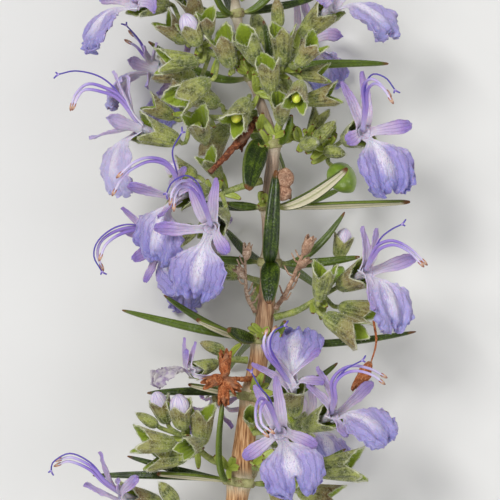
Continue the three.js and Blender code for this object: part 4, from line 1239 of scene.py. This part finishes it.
ANTHER = [(-0.6, 0.05, 0.05), (-0.5, 0.14, 0.13), (-0.3, 0.21, 0.18), (0, 0.23, 0.18), (0.3, 0.2, 0.16),
          (0.5, 0.12, 0.1), (0.6, 0.04, 0.04)]
PETAL_THICKNESS = 0.14
PRESS_REACH = 0.5  # mm above the surface, from where a petal is pressed flat

# How a petal waves: the depth and number of its folds, its cup, its margin's frill and teeth, how its base
# clasps the tube, its fine wrinkles, and the notch in its end.
EAR_WAVES = {"depth": 0.16, "folds": 1.0, "cup": 0.5, "frill": 0.12, "erose": 0.05, "clasp": 0.35,
             "crinkle": 0.03}
STRAP_WAVES = {"depth": 0.2, "folds": 1.0, "cup": 0.42, "frill": 0.2, "erose": 0.08, "clasp": 0.35,
               "crinkle": 0.04}
LIP_WAVES = {"depth": 0.4, "folds": 3.2, "cup": -0.2, "frill": 0.8, "erose": 0.26, "clasp": 0.4,
             "crinkle": 0.13, "notch": 0.08}
WITHERED_WAVES = {"depth": 0.7, "folds": 5.0, "frill": 0.7, "erose": 0.3, "crinkle": 0.35}

# What sets single blooms apart: which has withered, how much whiter some are, and how their lips differ.
WITHERED = "15"
WHITER = {"01": 0.15, "03": 0.3, "04": 0.5, "05": 0.75, "10": 0.3, "12": 0.1, "13": 0.2, "14": 0.2}
LIP_TWISTS = {"05": 0.12, "01": -0.4, "10": -0.05}  # radians, how far a lower lip turns about its own length
LIP_LEANS = {"07": -0.12, "08": 0.2, "10": -0.1, "13": 0.15, "05": -0.1, "06": 0.15}  # which side it leans to
LIP_WIDTHS = {"07": 0.87, "08": 0.92, "10": 0.84, "13": 0.92, "15": 0.55}  # its width, as a share of the rule
LIP_NOTCHES = {"12": 0.3, "08": 0.12}  # how deep its end is notched, as a share of its length

# Where the tips of a bloom's ears and side lobes lie, in the sprig's own frame. The rest spread evenly.
PETAL_TIPS = {
    "04": {"ears": [(-11.2, 24.8, 0.4), (-12.8, 24.4, 1.2)],
           "lobes": [(-14.6, 22.8, 0.4), (-12.4, 19.6, 0.4)]},
    "05": {"ears": [(-16.2, 21.2, 6.6), (-14.6, 20.8, 4.8)], "lobes": [(-19, 13.3, 6.4), (-16.8, 15.6, 8)]},
    "06": {"ears": [(-7.6, 9.8, 8.2), (-6.6, 7.8, 8)], "lobes": [(-14.4, 7.6, 8.4), (-10.8, 4, 9.6)]},
    "07": {"ears": [(-7.2, 8.4, 11), (-4, 8.5, 10.4)], "lobes": [(-11.2, 2.6, 11.4), (-2.6, -0.4, 10.8)]},
    "08": {"ears": [(10.9, 20, 6.6), (13.3, 21.2, 6)], "lobes": [(19.2, 14.8, 6), (11.4, 12.8, 6.6)]},
    "09": {"ears": [(-15.7, 2.4, 1.8), (-15.4, 5, 1)], "lobes": [(-14, -1.2, 2.6), (-12.6, -3.8, 2.4)]},
    "10": {"ears": [(13.4, 2.8, 6.8), (15, 2.6, 6.4)], "lobes": [(19.6, -0.9, 7), (14.7, -7, 10.4)]},
    "11": {"ears": [(1.4, -11.2, 5.6), (0.2, -13.4, 6.8)], "lobes": [(8.2, -11.6, 5.2), (8.8, -15.6, 7)]},
    "12": {"ears": [(0.5, -15.8, 11.6), (3, -14.8, 11)], "lobes": [(-0.8, -24.4, 12), (7.8, -23, 12.2)]},
    "13": {"ears": [(6.7, -15.8, 6.6), (8, -13.8, 6)], "lobes": [(14.5, -15.6, 6.8), (11.4, -22, 8)]},
    "14": {"ears": [(-17.9, -24, 4.8), (-15.7, -27.2, 5.6)],
           "lobes": [(-19.7, -27.9, 5), (-13.4, -26.9, 6.4)]},
    "15": {"ears": [(-7.9, -10.4, 5), (-6.5, -10.9, 4.6)], "lobes": [(-7.6, -11.8, 5.6), (-3.4, -15.6, 4.6)]},
}
# How the two stamens and the style of a bloom run on from its throat. The rest arch over their own lip.
THREAD_WAYS = {
    "04": [[(-12.6, 23.2, -1.6), (-13.6, 24.4, -1), (-14.6, 25, -0.6)],
           [(-12.4, 23.4, -1.8), (-13.2, 25, -1.2), (-14.2, 26, -0.8)],
           [(-12.4, 23.8, -1.4), (-13.6, 25.6, -0.8), (-14.8, 26.9, 0)]],
    "05": [[(-15.2, 18, 6.4), (-17.2, 19.2, 7.6), (-19.2, 19.6, 8), (-20.6, 18.4, 7.8), (-21.1, 17, 7.4)],
           [(-15.5, 17.8, 6.8), (-17.6, 18.7, 8.2), (-19.5, 18.9, 8.6), (-20.4, 17.9, 8.4), (-20.8, 17, 8)],
           [(-15.4, 18.4, 6.6), (-17.6, 20.4, 8), (-20.4, 21.1, 9), (-22.5, 20.7, 9.4)]],
    "06": [[(-8.6, 8, 8.6), (-9.6, 9.8, 11), (-11.4, 10.4, 12.6), (-13.2, 9.8, 13.2), (-14.8, 8.6, 13),
            (-15.9, 6.8, 12.2)],
           [(-8.5, 8.2, 8.8), (-9.8, 10.3, 11.4), (-11.8, 10.8, 13.2), (-13.6, 10.2, 13.8),
            (-15.2, 8.8, 13.4)],
           [(-8.6, 9, 9), (-9.1, 11.6, 11.2), (-8, 13.7, 12.4)]],
    "07": [[(-5.4, 5, 13), (-6.6, 7, 15.8), (-8, 7.3, 17.6), (-8.7, 6.2, 18.2), (-8.8, 5, 18)],
           [(-5.2, 5.2, 13.2), (-6.3, 7.5, 16.2), (-7.8, 8, 18.2), (-8.9, 7, 18.9), (-9.2, 5.7, 18.6)],
           [(-5.2, 5.4, 13.4), (-6, 7.7, 16.6), (-7.4, 8.6, 18.8), (-9, 7.8, 19.6), (-9.6, 6.6, 19.4)]],
    "08": [[(13.5, 16.8, 7.6), (13.3, 19, 9.8), (13.9, 20, 11.2), (14.9, 19.8, 11.8), (16.2, 18.4, 11.6)],
           [(13.8, 16.8, 7.8), (13.8, 18.7, 10.2), (14.6, 19.5, 11.8), (15.6, 18.9, 12.4),
            (16.5, 17.6, 12.2)],
           [(13.6, 17, 8), (13.6, 19.4, 10.4), (14.4, 20.6, 12), (15.9, 20.1, 12.8), (16.9, 18.8, 12.6)]],
    "09": [[(-13.2, 2.6, 2), (-15.6, 2.4, 3), (-17.6, 1.2, 3.4), (-18.2, -0.4, 3.2), (-17.7, -2, 2.6)],
           [(-13.2, 2.3, 2.6), (-15.4, 1.9, 3.6), (-17.1, 0.7, 4), (-17.8, -0.8, 3.8)],
           [(-13.2, 2.9, 2.4), (-15.8, 2.8, 3.4), (-18, 1.2, 4), (-18.6, -0.7, 3.8), (-17.7, -2.5, 3.2)]],
    "10": [[(14.4, -0.6, 7.6), (15.1, 0.6, 9), (16.8, 1.1, 9.8), (18.8, 0.2, 9.8), (20.5, -1.4, 9.2)],
           [(14.6, -0.8, 8), (15.4, 0.2, 9.6), (17, 0.6, 10.4), (18.7, -0.2, 10.4), (20.1, -1.6, 9.8)],
           [(14.6, -0.2, 8.2), (15.4, 1.4, 9.6), (16.6, 2.4, 10.4), (17.8, 3, 10.8)]],
    "11": [[(3.5, -13.8, 7.8), (2.4, -12.2, 9.2), (2.2, -10.6, 9.8), (2.8, -9.4, 9.6)],
           [(3.2, -13.9, 8), (2, -12.5, 9.4), (1.6, -10.9, 10), (1.9, -9.7, 9.8)],
           [(3.4, -13.4, 8.4), (2.4, -11.4, 9.8), (2.8, -9.6, 10.2), (4, -8.9, 10)]],
    "12": [[(2.2, -18.2, 14.2), (1.3, -17.2, 16.4), (0.7, -18.2, 18), (0.8, -20.2, 18.6), (1.8, -21.3, 18.4)],
           [(2.5, -18.4, 14.6), (1.8, -17.6, 17), (1.2, -18.5, 18.6), (1.4, -20.1, 19.2), (2.4, -20.9, 19)],
           [(2.4, -17.6, 14.2), (1.2, -16, 16.2), (0.2, -14.2, 17)]],
    "13": [[(9.8, -17.4, 7.4), (9.6, -15.6, 8.8), (10.6, -14.2, 9.6), (12.2, -13.6, 10), (14.2, -14, 9.8),
            (15.7, -14.8, 9.2)],
           [(10.1, -17.5, 7.8), (10, -15.8, 9.4), (11, -14.6, 10.2), (12.6, -14.2, 10.6),
            (14.4, -14.7, 10.4), (15.5, -15.5, 9.8)],
           [(10, -17, 8), (10.1, -15.4, 9.6), (11.3, -14, 10.6), (13.1, -13, 11)]],
    "14": [[(-17.4, -27.6, 5.4), (-19, -26, 6.6), (-21.3, -25, 7.2), (-22.7, -25.4, 6.8)],
           [(-17.2, -27.4, 5.8), (-18.8, -25.6, 7.2), (-21, -24.5, 7.8), (-22.6, -24.8, 7.4)],
           [(-17.2, -27.2, 6), (-18.8, -25.2, 7.4), (-21.2, -24, 8.2), (-23.2, -25, 8), (-23.5, -26, 7.6)]],
}


def straight_petal(name, columns, rows, outline):
    """A flat petal up +Z with its face towards +Y, drawn out of an edge through (z, half width) stations."""
    bpy.ops.object.select_all(action="DESELECT")
    bpy.ops.mesh.primitive_grid_add(x_subdivisions=columns, y_subdivisions=1, size=2)
    petal = bpy.context.object
    petal.name = name
    pick(petal, "VERT", corners(petal)[:, 1] < 0)
    bpy.ops.mesh.delete(type="VERT")
    bpy.ops.mesh.select_all(action="SELECT")
    stations = smooth_route([(z, wide, 0) for z, wide in outline], rows)
    z, wide, _ = stations[0]
    bpy.ops.transform.translate(value=(0, -1, 0))
    bpy.ops.transform.resize(value=(wide, 1, 1), center_override=(0, 0, 0))
    for next_z, next_wide, _ in stations[1:]:
        bpy.ops.mesh.extrude_region_move(TRANSFORM_OT_translate={"value": (0, 0, next_z - z)})
        bpy.ops.transform.resize(value=(next_wide / wide, 1, 1), center_override=(0, 0, next_z))
        z, wide = next_z, next_wide
    bpy.ops.object.mode_set(mode="OBJECT")
    places = corners(petal)
    half = np.interp(places[:, 2], stations[:, 0], stations[:, 1])
    note_place(petal, places[:, 0] / half, places[:, 2], 0)
    return petal


def waved(part, seed, depth, folds, cup=0.0, frill=0.0, erose=0.0, clasp=0.0, crinkle=0.0, lean=0.0,
          notch=0.0):
    """Waves a straight petal: folds that fan out from its base, a frilled ragged margin, and fine wrinkles.

    Its base clasps the tube, its blade leans to one side, and its end is notched.
    """
    places = corners(part)
    x, z = places[:, 0].copy(), places[:, 2].copy()
    share = np.array([value.vector[0] for value in part.data.attributes["place"].data])
    flat = np.stack([x, np.full_like(x, 3.7 * seed), 7 * z], 1)
    broad = ragged(flat, 1.7, seed)
    fold = np.cos(folds * math.pi * (share + 0.3 * broad))
    rim = np.clip(np.maximum(abs(share) - 0.45, z - 0.62) / 0.5, 0, 1) ** 1.3 * np.clip(3 * z - 0.6, 0, 1)
    blade = np.clip(4 * z - 1, 0, 1)
    places[:, 1] += depth * z * (fold + 0.8 * broad) - cup * (1 - share**2) * np.sin(math.pi * z)
    places[:, 1] += frill * rim * ragged(flat, 0.55, seed + 2)
    places[:, 1] += clasp * share**2 * np.clip(1 - 5 * z, 0, 1)
    places[:, 1] += crinkle * blade * ragged(flat * (1.5, 1, 0.5), 0.3, seed + 9)
    teeth = ragged(flat, 0.3, seed + 5) + 1.2 * ragged(flat, 0.8, seed + 7)
    places[:, 0] += erose * teeth * np.clip((abs(share) - 0.7) / 0.3, 0, 1) * blade * np.sign(share)
    places[:, 0] += lean * (2.4 * z**1.5 + 0.3 * abs(x)) * blade
    places[:, 2] += 0.12 * erose * np.clip((z - 0.88) / 0.12, 0, 1) * teeth
    places[:, 2] -= notch * np.exp(-(((share - 0.15 * lean) / 0.22) ** 2)) * np.clip((z - 0.7) / 0.3, 0, 1)
    move_corners(part, places)


def vein_group():
    """Fine veins that run along a petal and fan out with it: how dark they are at each point."""
    group, given, results = number_group("veins", ("Across", "Along", "Count"), ("Dark",))
    bent = plus(group, given["Across"], times(group, cloud(group, spot_on(group), 700), 0.35))
    wave = reckon(group, "SINE", times(group, bent, given["Count"]))
    fade = between(group, given["Along"], 0.05, 0.5)
    group.links.new(times(group, between(group, wave, 0.55, 1.0), fade), results["Dark"])
    return group


veins = vein_group()


def petal_finish(name, base, middle, end, stripe=0.0, count=24.0, pale_to=0.5):
    """Thin translucent petal: pale at its base, with veins, painted glints for a sparkling skin, and a white
    stripe if asked.
    """
    material, tree, shader = finish(name, Roughness=0.5, Subsurface_Weight=0.2, Subsurface_Scale=0.0004,
                                    Sheen_Weight=0.45, Sheen_Roughness=0.4, Sheen_Tint=linear(226, 218, 244))
    spot = spot_on(tree)
    across, along, whiter = own_place(tree)
    cells = add_node(tree, "ShaderNodeTexVoronoi", {"Vector": spot, "Scale": 6500}).outputs[0]
    patches = cloud(tree, spot, 620, 4)
    reach = wandering(tree, along, patches, 0.5)
    colour = ramp(tree, reach, (0.3 * pale_to, base), (pale_to, middle), (0.95, end))
    vein = add_node(tree, "ShaderNodeGroup", {}, node_tree=veins)
    for socket_name, value in (("Across", across), ("Along", along), ("Count", count)):
        plug(tree, vein.inputs[socket_name], value)
    dark_veins = vein.outputs["Dark"]
    colour = lay(tree, colour, deeper(end, 0.55), dark_veins, 0.48)
    stretched = add_node(tree, "ShaderNodeCombineXYZ", {
        "X": times(tree, across, 9.0),
        "Y": times(tree, along, 5.0),
        "Z": times(tree, patches, 2.0),
    }).outputs[0]
    streaks = cloud(tree, stretched, 1.6, 4, Roughness=0.65)
    pale = blend(tree, between(tree, streaks, 0.52, 0.72), colour, (206, 194, 224))
    colour = blend(tree, 0.55, colour, pale)
    if stripe:
        side = wandering(tree, reckon(tree, "ABSOLUTE", across), streaks, 0.7)
        middle_band = without(tree, between(tree, side, 0.06, 0.36))
        upper_part = without(tree, between(tree, along, 0.5, 0.95))
        claw = without(tree, between(tree, along, 0.22, 0.42))
        band = reckon(tree, "MAXIMUM", times(tree, middle_band, upper_part), claw)
        colour = lay(tree, colour, (236, 230, 240), band, stripe)
        specks = between(tree, cloud(tree, stretched, 5.5), 0.6, 0.66)
        fleck = times(tree, specks, between(tree, side, 0.5, 0.2))
        fleck = times(tree, fleck, without(tree, between(tree, along, 0.55, 0.8)))
        colour = lay(tree, colour, (116, 82, 168), fleck, 0.7)
    # Paler at the middle of each small cell: painted glints.
    colour = lay(tree, colour, (226, 220, 240), between(tree, cells, 0.5, 0.1), 0.14)
    colour = lay(tree, colour, (216, 208, 228), whiter, 0.6)
    tree.links.new(colour, shader.inputs["Base Color"])
    crepe = cloud(tree, spot, 1700, 4, Distortion=0.8)
    relief(tree, shader, (streaks, 0.6, 0.3), (crepe, 0.5, 0.22), (dark_veins, 0.3, 0.08), (cells, 0.3, 0.05))
    return material


def thread_finish(name, *stops):
    """A smooth slightly translucent thread, whose colour changes along it."""
    material, tree, shader = finish(name, Roughness=0.45, Subsurface_Weight=0.2, Subsurface_Scale=0.0003)
    _, along, _ = own_place(tree)
    patches = cloud(tree, spot_on(tree), 1500, 3)
    reach = wandering(tree, along, patches, 0.16)
    tree.links.new(ramp(tree, reach, *stops), shader.inputs["Base Color"])
    relief(tree, shader, (patches, 0.2, 0.05))
    return material


def withered_finish():
    """Dull and crumpled, from grey-brown to a dirty white."""
    material, tree, shader = finish("withered petal", Roughness=0.7)
    patches = cloud(tree, spot_on(tree), 900, 5)
    colour = ramp(tree, patches, (0.3, (124, 104, 96)), (0.42, (150, 132, 164)), (0.52, (188, 180, 184)),
                  (0.7, (214, 208, 202)))
    tree.links.new(colour, shader.inputs["Base Color"])
    relief(tree, shader, (patches, 0.7, 0.25))
    return material


flat_ear = straight_petal("ear", 12, 30, EAR_OUTLINE)
ear_skin = petal_finish("ear", (230, 218, 232), (186, 162, 212), (160, 132, 204), 0, 12, 0.75)
flat_ear.data.materials.append(ear_skin)
flat_strap = straight_petal("side lobe", 12, 28, STRAP_OUTLINE)
strap_skin = petal_finish("side lobe", (234, 224, 236), (184, 158, 212), (146, 120, 200), 0, 12, 0.7)
flat_strap.data.materials.append(strap_skin)
flat_lip = straight_petal("lower lip", 48, 52, LIP_OUTLINE)
lip_skin = petal_finish("lower lip", (228, 220, 234), (158, 146, 204), (134, 130, 198), 0.9, 30)
flat_lip.data.materials.append(lip_skin)
withered_skin = withered_finish()

corolla_tube = straight_rod("corolla tube", 20, TUBE)
places = corners(corolla_tube)
note_place(corolla_tube, turn_of(places) / math.pi, (places[:, 2] - 2.6) / 3.7, 0)
tube_skin = petal_finish("corolla tube", (206, 200, 202), (226, 218, 230), (212, 200, 224), count=18)
corolla_tube.data.materials.append(tube_skin)


def straight_thread(name, sides, radius, taper, skin):
    """A thread up +Z that grows thinner towards its tip."""
    thread = even_rod(name, sides, 28)
    along = corners(thread)[:, 2]
    note_place(thread, 0, along, 0)
    widen(thread, radius - taper * along)
    thread.data.materials.append(skin)
    return thread


filament_skin = thread_finish("filament", (0.0, (214, 200, 234)), (0.3, (170, 146, 214)),
                              (0.65, (146, 122, 204)), (1.0, (226, 216, 238)))
filament = straight_thread("filament", 8, 0.27, 0.12, filament_skin)
style_skin = thread_finish("style", (0.0, (196, 178, 226)), (0.5, (104, 84, 178)), (1.0, (74, 66, 158)))
style = straight_thread("style", 7, 0.13, 0.04, style_skin)
anther = straight_rod("anther", 10, ANTHER)
places = corners(anther)
places[:, 1] -= 0.1 * np.exp(-((places[:, 0] / 0.08) ** 2)) * np.sign(places[:, 1])
move_corners(anther, places)
note_place(anther, 0, 0.5 + places[:, 2] / 1.2, 0)
anther_skin = thread_finish("anther", (0.0, (92, 52, 40)), (0.3, (176, 92, 56)), (0.6, (214, 176, 150)),
                            (1.0, (120, 60, 42)))
anther.data.materials.append(anther_skin)


def petal_part(model, way, face, seed, waves, slim=1.0):
    """A copy of a flat petal, waved, narrowed if asked, bent along its way and thickened."""
    part = copy_of(model)
    waved(part, seed, **waves)
    places = corners(part)
    places[:, 0] *= slim
    move_corners(part, places)
    bend_along(part, way, face)
    apply_modifier(part, "SOLIDIFY", thickness=PETAL_THICKNESS, offset=0)
    return part


def pressed(part):
    """Lays what would reach through the surface flat on it."""
    places = corners(part)
    low = PETAL_THICKNESS - STEM_HEIGHT
    under = np.clip(low + PRESS_REACH - places[:, 2], 0, None)
    places[:, 2] = np.where(under > 0, low + PRESS_REACH / (1 + 2 * under), places[:, 2])
    move_corners(part, places)


def mirrored(way, side):
    return [(side * x, y, z) for x, y, z in way]


def petal_ways(way, tips, inverse, seed):
    """The ways of a mirrored pair of petals: each one to its own tip, or else both a little off the rule."""
    if tips:
        ends = sorted((inverse @ Vector(tip) for tip in tips), key=lambda end: end.x)
        for side, end in zip((-1, 1), ends):
            start = Vector((side * way[0][0], *way[0][1:]))
            middle = start.lerp(end, 0.5) + Vector((0, 0, 0.9))
            yield smooth_route([start, start + Vector((0, 0, 1.0)) + 0.12 * (end - start), middle, end])
        return
    rng = random.Random(seed)
    for side in (-1, 1):
        points = []
        for n, (x, y, z) in enumerate(mirrored(way, side)):
            x += rng.uniform(-0.25, 0.25) * n
            y += rng.uniform(-0.2, 0.2) * n
            points.append((x, y, z + rng.uniform(-0.25, 0.25) * n))
        yield smooth_route(points)


def corolla_parts(number, lift, inverse):
    """The tube and the five petals of a bloom, in its own frame."""
    seed = int(number)
    tips = PETAL_TIPS.get(number, {})
    parts = [copy_of(corolla_tube)]
    for count, way in enumerate(petal_ways(EAR_WAY, tips.get("ears"), inverse, seed)):
        parts.append(petal_part(flat_ear, way, (0, 0, 1), seed + count, EAR_WAVES))
    for count, way in enumerate(petal_ways(STRAP_WAY, tips.get("lobes"), inverse, seed + 40)):
        parts.append(petal_part(flat_strap, way, (0, 0, 1), seed + 3 + count, STRAP_WAVES))
    waves = LIP_WAVES | {"lean": LIP_LEANS.get(number, 0)}
    if number in LIP_NOTCHES:
        waves["notch"] = LIP_NOTCHES[number]
    if number == WITHERED:
        waves = WITHERED_WAVES
    lip = petal_part(flat_lip, smooth_route(LIP_WAY), (0, 1, 0.3), seed, waves, LIP_WIDTHS.get(number, 1.0))
    if number == WITHERED:
        lip.data.materials.clear()
        lip.data.materials.append(withered_skin)
    turned = Matrix.Rotation(LIP_TWISTS.get(number, 0), 4, "Y") @ Matrix.Rotation(-lift, 4, "X")
    place_part(lip, Matrix.Translation(LIP_HINGE) @ turned @ Matrix.Translation(-LIP_HINGE))
    return [*parts, lip]


def bent_copy(thread, way, face=(0.3, 0.2, 1)):
    part = copy_of(thread)
    bend_along(part, way, face)
    return part


def thread_parts(number, matrix):
    """Two stamens with their anthers, and the style with its forked tip, in the sprig's own frame."""
    if number in THREAD_WAYS:
        inside = matrix @ Vector((0, 0.3, 5.4))
        ways = [smooth_route([inside, *way]) for way in THREAD_WAYS[number]]
    else:
        rule = [mirrored(STAMEN_WAY, -1), STAMEN_WAY, STYLE_WAY]
        ways = [smooth_route([matrix @ Vector(point) for point in way]) for way in rule]
    *stamen_ways, style_way = ways
    parts = []
    for way in stamen_ways:
        turned = Vector(way[-1] - way[-4]).to_track_quat("Z", "Y").to_matrix().to_4x4()
        pollen = copy_of(anther)
        place_part(pollen, Matrix.Translation(Vector(way[-1])) @ turned)
        parts += [bent_copy(filament, way), pollen]
    parts.append(bent_copy(style, style_way))
    tip, heading = Vector(style_way[-1]), Vector(style_way[-1] - style_way[-3]).normalized()
    aside = heading.cross(Vector((0.3, 0.2, 1))).normalized()
    for side, length in ((-1, 0.9), (1, 0.4)):
        fork = [tip, tip + heading * 0.4 * length + side * aside * 0.12,
                tip + heading * 0.8 * length + side * aside * 0.34]
        parts.append(bent_copy(style, smooth_route(fork, 8), (0.1, 0.2, 1)))
    return parts


for plan in RACEMES.values():
    for number, (base, throat, up, lift) in plan.get("blooms", {}).items():
        matrix = flower_frame(base, throat, THROAT, up)
        petals = corolla_parts(number, lift, matrix.inverted())
        for part in petals:
            place_part(part, matrix)
            pressed(part)
        corolla = settle(f"corolla_{number}", petals, "petal", f"bloom_{number}")
        change_third(corolla, lambda _: WHITER.get(number, 0.0))
        if number in THREAD_WAYS or throat[2] > 0 and number != WITHERED:
            settle(f"stamens_{number}", thread_parts(number, matrix), "petal", f"bloom_{number}")
put_away(flat_ear, flat_strap, flat_lip, corolla_tube, filament, style, anther)

# --- The dried remains ------------------------------------------------------------------------------------
# What earlier flowers left: a brown twig across the stem, two dead racemes with papery husks, a shrivelled
# bloom, two dry fruits, and a brown corolla that hangs by its style, all orange-brown and crumpled.

# For each, its axis, its radius, its colour from dark over orange to tan, how many prongs stand off it, and
# its husks from base to tip with their width.
DRIED = {
    "dried_twig": {
        "axis": [(0.9, 15.6, 1.3), (-1.6, 12.6, 3.6), (-4.8, 9.2, 5)],
        "radius": 0.5,
        "tone": 0.05,
        "prongs": 4,
        "husks": [((-0.2, 14.4, 2.2), (-1.4, 12.4, 1.6), 1.1)],
    },
    "dead_raceme_left": {
        "axis": [(0.6, -7.4, 1), (-0.4, -5.2, 2), (-0.6, -0.4, 2.4)],
        "radius": 0.25,
        "tone": 1.0,
        "prongs": 7,
        "husks": [
            ((-0.6, -3.4, 2.2), (-1.6, -2.2, 2.6), 0.75),
            ((-0.5, -1.2, 2.4), (-0.3, 0.5, 3), 0.85),
        ],
    },
    "dead_raceme_right": {
        "axis": [(3.1, -7, 0.9), (4.6, -4.6, 2), (6.6, 0.2, 2.4)],
        "radius": 0.3,
        "tone": 0.85,
        "prongs": 8,
        "husks": [
            ((6.4, -0.6, 2.4), (7.2, 1.4, 2.8), 1.0),
            ((5.6, -2.2, 2.2), (7, -1.2, 2.4), 0.7),
        ],
    },
    "shrivelled_bloom": {
        "axis": [(0.2, -15.4, 1.2), (-1.4, -15.4, 3), (-3.2, -15.2, 4.2)],
        "radius": 0.34,
        "tone": 0.45,
        "prongs": 0,
        "husks": [
            ((-3, -15.2, 4), (-3, -12.4, 5.2), 1.1),
            ((-3.2, -15.2, 4.2), (-5.2, -15.8, 5.6), 1.1),
            ((-3, -15.2, 4), (-3.2, -18, 4.8), 1.1),
            ((-3, -15.2, 4), (-1.6, -16.6, 5), 1.1),
        ],
    },
    "dried_fruits": {
        "axis": [(2.9, 7.4, 0.8), (3.6, 7.6, 1.4), (4, 7.8, 1.8)],
        "radius": 0.36,
        "tone": 0.8,
        "prongs": 0,
        "husks": [
            ((4, 7.4, 1.6), (4.3, 9.8, 2.4), 1.9),
            ((3.8, 7.8, 1.5), (3.9, 5.9, 2), 1.9),
        ],
    },
    "hanging_corolla": {
        "axis": [(14.7, -8.4, 4.2), (15, -11, 4.7), (14.3, -13.6, 4.8)],
        "radius": 0.15,
        "tone": 0.4,
        "prongs": 0,
        "husks": [((14.3, -13.3, 4.7), (12.8, -16.4, 5.2), 1.2)],
    },
}
# Their shapes, upright: (z, radius), 1 high.
DRY_FRUIT = [(0, 0.12), (0.06, 0.3), (0.16, 0.46), (0.3, 0.58), (0.46, 0.62), (0.62, 0.6), (0.76, 0.5),
             (0.88, 0.36), (0.95, 0.22), (1, 0.08)]
DRY_HUSK = [(0, 0.2), (0.1, 0.4), (0.22, 0.54), (0.34, 0.6), (0.46, 0.62), (0.58, 0.61), (0.68, 0.6),
            (0.78, 0.59), (0.86, 0.6), (0.93, 0.62), (1, 0.64)]
HUSK_WALL = 0.1
PRONG_RADIUS = 0.13


def dried_finish():
    """Dead tissue: from dark red-brown through orange-brown to a pinkish tan, by the third value."""
    material, tree, shader = finish("dried", Roughness=0.85)
    spot = spot_on(tree)
    _, _, tone = own_place(tree)
    creases = cloud(tree, spot, 2400, 6, Distortion=1.2)
    blotch = cloud(tree, spot, 700, 3)
    dark = ramp(tree, creases, (0.3, (48, 26, 18)), (0.5, (112, 60, 36)), (0.72, (170, 108, 72)))
    orange = ramp(tree, creases, (0.3, (96, 48, 26)), (0.5, (172, 96, 52)), (0.72, (214, 152, 104)))
    tan = ramp(tree, creases, (0.3, (116, 86, 68)), (0.5, (180, 150, 126)), (0.72, (222, 202, 182)))
    brown = blend(tree, between(tree, tone, 0.0, 0.5), dark, orange)
    brown = blend(tree, between(tree, tone, 0.5, 1.0), brown, tan)
    colour = lay(tree, brown, (132, 104, 84), between(tree, blotch, 0.5, 0.7), 0.6)
    tree.links.new(colour, shader.inputs["Base Color"])
    relief(tree, shader, (creases, 0.8, 0.15))
    return material


dried_skin = dried_finish()
dry_rod = even_rod("dry twig", 12, 30)
dry_husk = straight_rod("husk", 28, DRY_HUSK)
open_up(dry_husk)
places = corners(dry_husk)
turn = turn_of(places)
teeth = abs(np.cos(2.5 * turn))
places[:, 2] += 0.3 * (teeth - 0.5) * np.clip((places[:, 2] - 0.45) / 0.55, 0, 1) ** 1.5
places[:, :2] *= (1 + 0.12 * np.cos(5 * turn + 1) * places[:, 2])[:, None]
move_corners(dry_husk, places)
apply_modifier(dry_husk, "SOLIDIFY", thickness=HUSK_WALL, offset=-1)
dry_fruit = straight_rod("dry fruit", 26, DRY_FRUIT)
for model in (dry_rod, dry_husk, dry_fruit):
    model.data.materials.append(dried_skin)


def dry_twig(way, radius, seed):
    """A knobbly ringed twig that tapers along its way."""
    twig = copy_of(dry_rod)
    places = corners(twig)
    knobs = ragged(places * (1, 1, 9), 1.2, seed)
    rings = np.exp(-((np.sin(5 * math.pi * places[:, 2]) / 0.3) ** 2))
    widen(twig, radius * (1 - 0.4 * places[:, 2]) * (1 + 0.25 * knobs + 0.2 * rings))
    bend_along(twig, way, (0.11, 0.13, 1))
    return twig


for name, plan in DRIED.items():
    rng = random.Random(name)
    spine = smooth_route(plan["axis"], 24)
    parts = [dry_twig(spine, plan["radius"], 5)]
    for count in range(plan["prongs"]):
        foot = Vector(spine[4 + round(18 * count / plan["prongs"])])
        sideways = rng.choice((-1, 1)) * rng.uniform(0.4, 1)
        aside = Vector((sideways, rng.uniform(0.3, 1), rng.uniform(-0.3, 0.9)))
        tip = foot + rng.uniform(0.9, 1.7) * aside.normalized()
        curl = Vector((0, 0.25, 0.1))
        way = smooth_route([foot, foot.lerp(tip, 0.5) - curl, tip + curl], 12)
        parts.append(dry_twig(way, PRONG_RADIUS, count))
    for count, (base, tip, width) in enumerate(plan["husks"]):
        husk = copy_of(dry_fruit if name == "dried_fruits" else dry_husk)
        places = corners(husk)
        crush = ragged(places * (1.6, 1.6, 2.4), 0.7, count + width)
        rough = ragged(places * (1, 1, 2), 0.2, count + 9)
        widen(husk, width * (1 + 0.28 * crush + 0.07 * rough))
        bend_along(husk, smooth_route([base, (Vector(base) + Vector(tip)) / 2, tip], 12), (0.2, 0.3, 1))
        parts.append(husk)
    for part in parts:
        note_place(part, 0, 0, plan["tone"])
    settle(f"dry_{name}", parts, "dried", *([] if name == "hanging_corolla" else [name]))
put_away(dry_rod, dry_husk, dry_fruit)
put_away(thin_stalk, raceme_axis, straight_leaf, bract, nutlet)
put_away(*(model for model, _ in HEADS.values() if model))
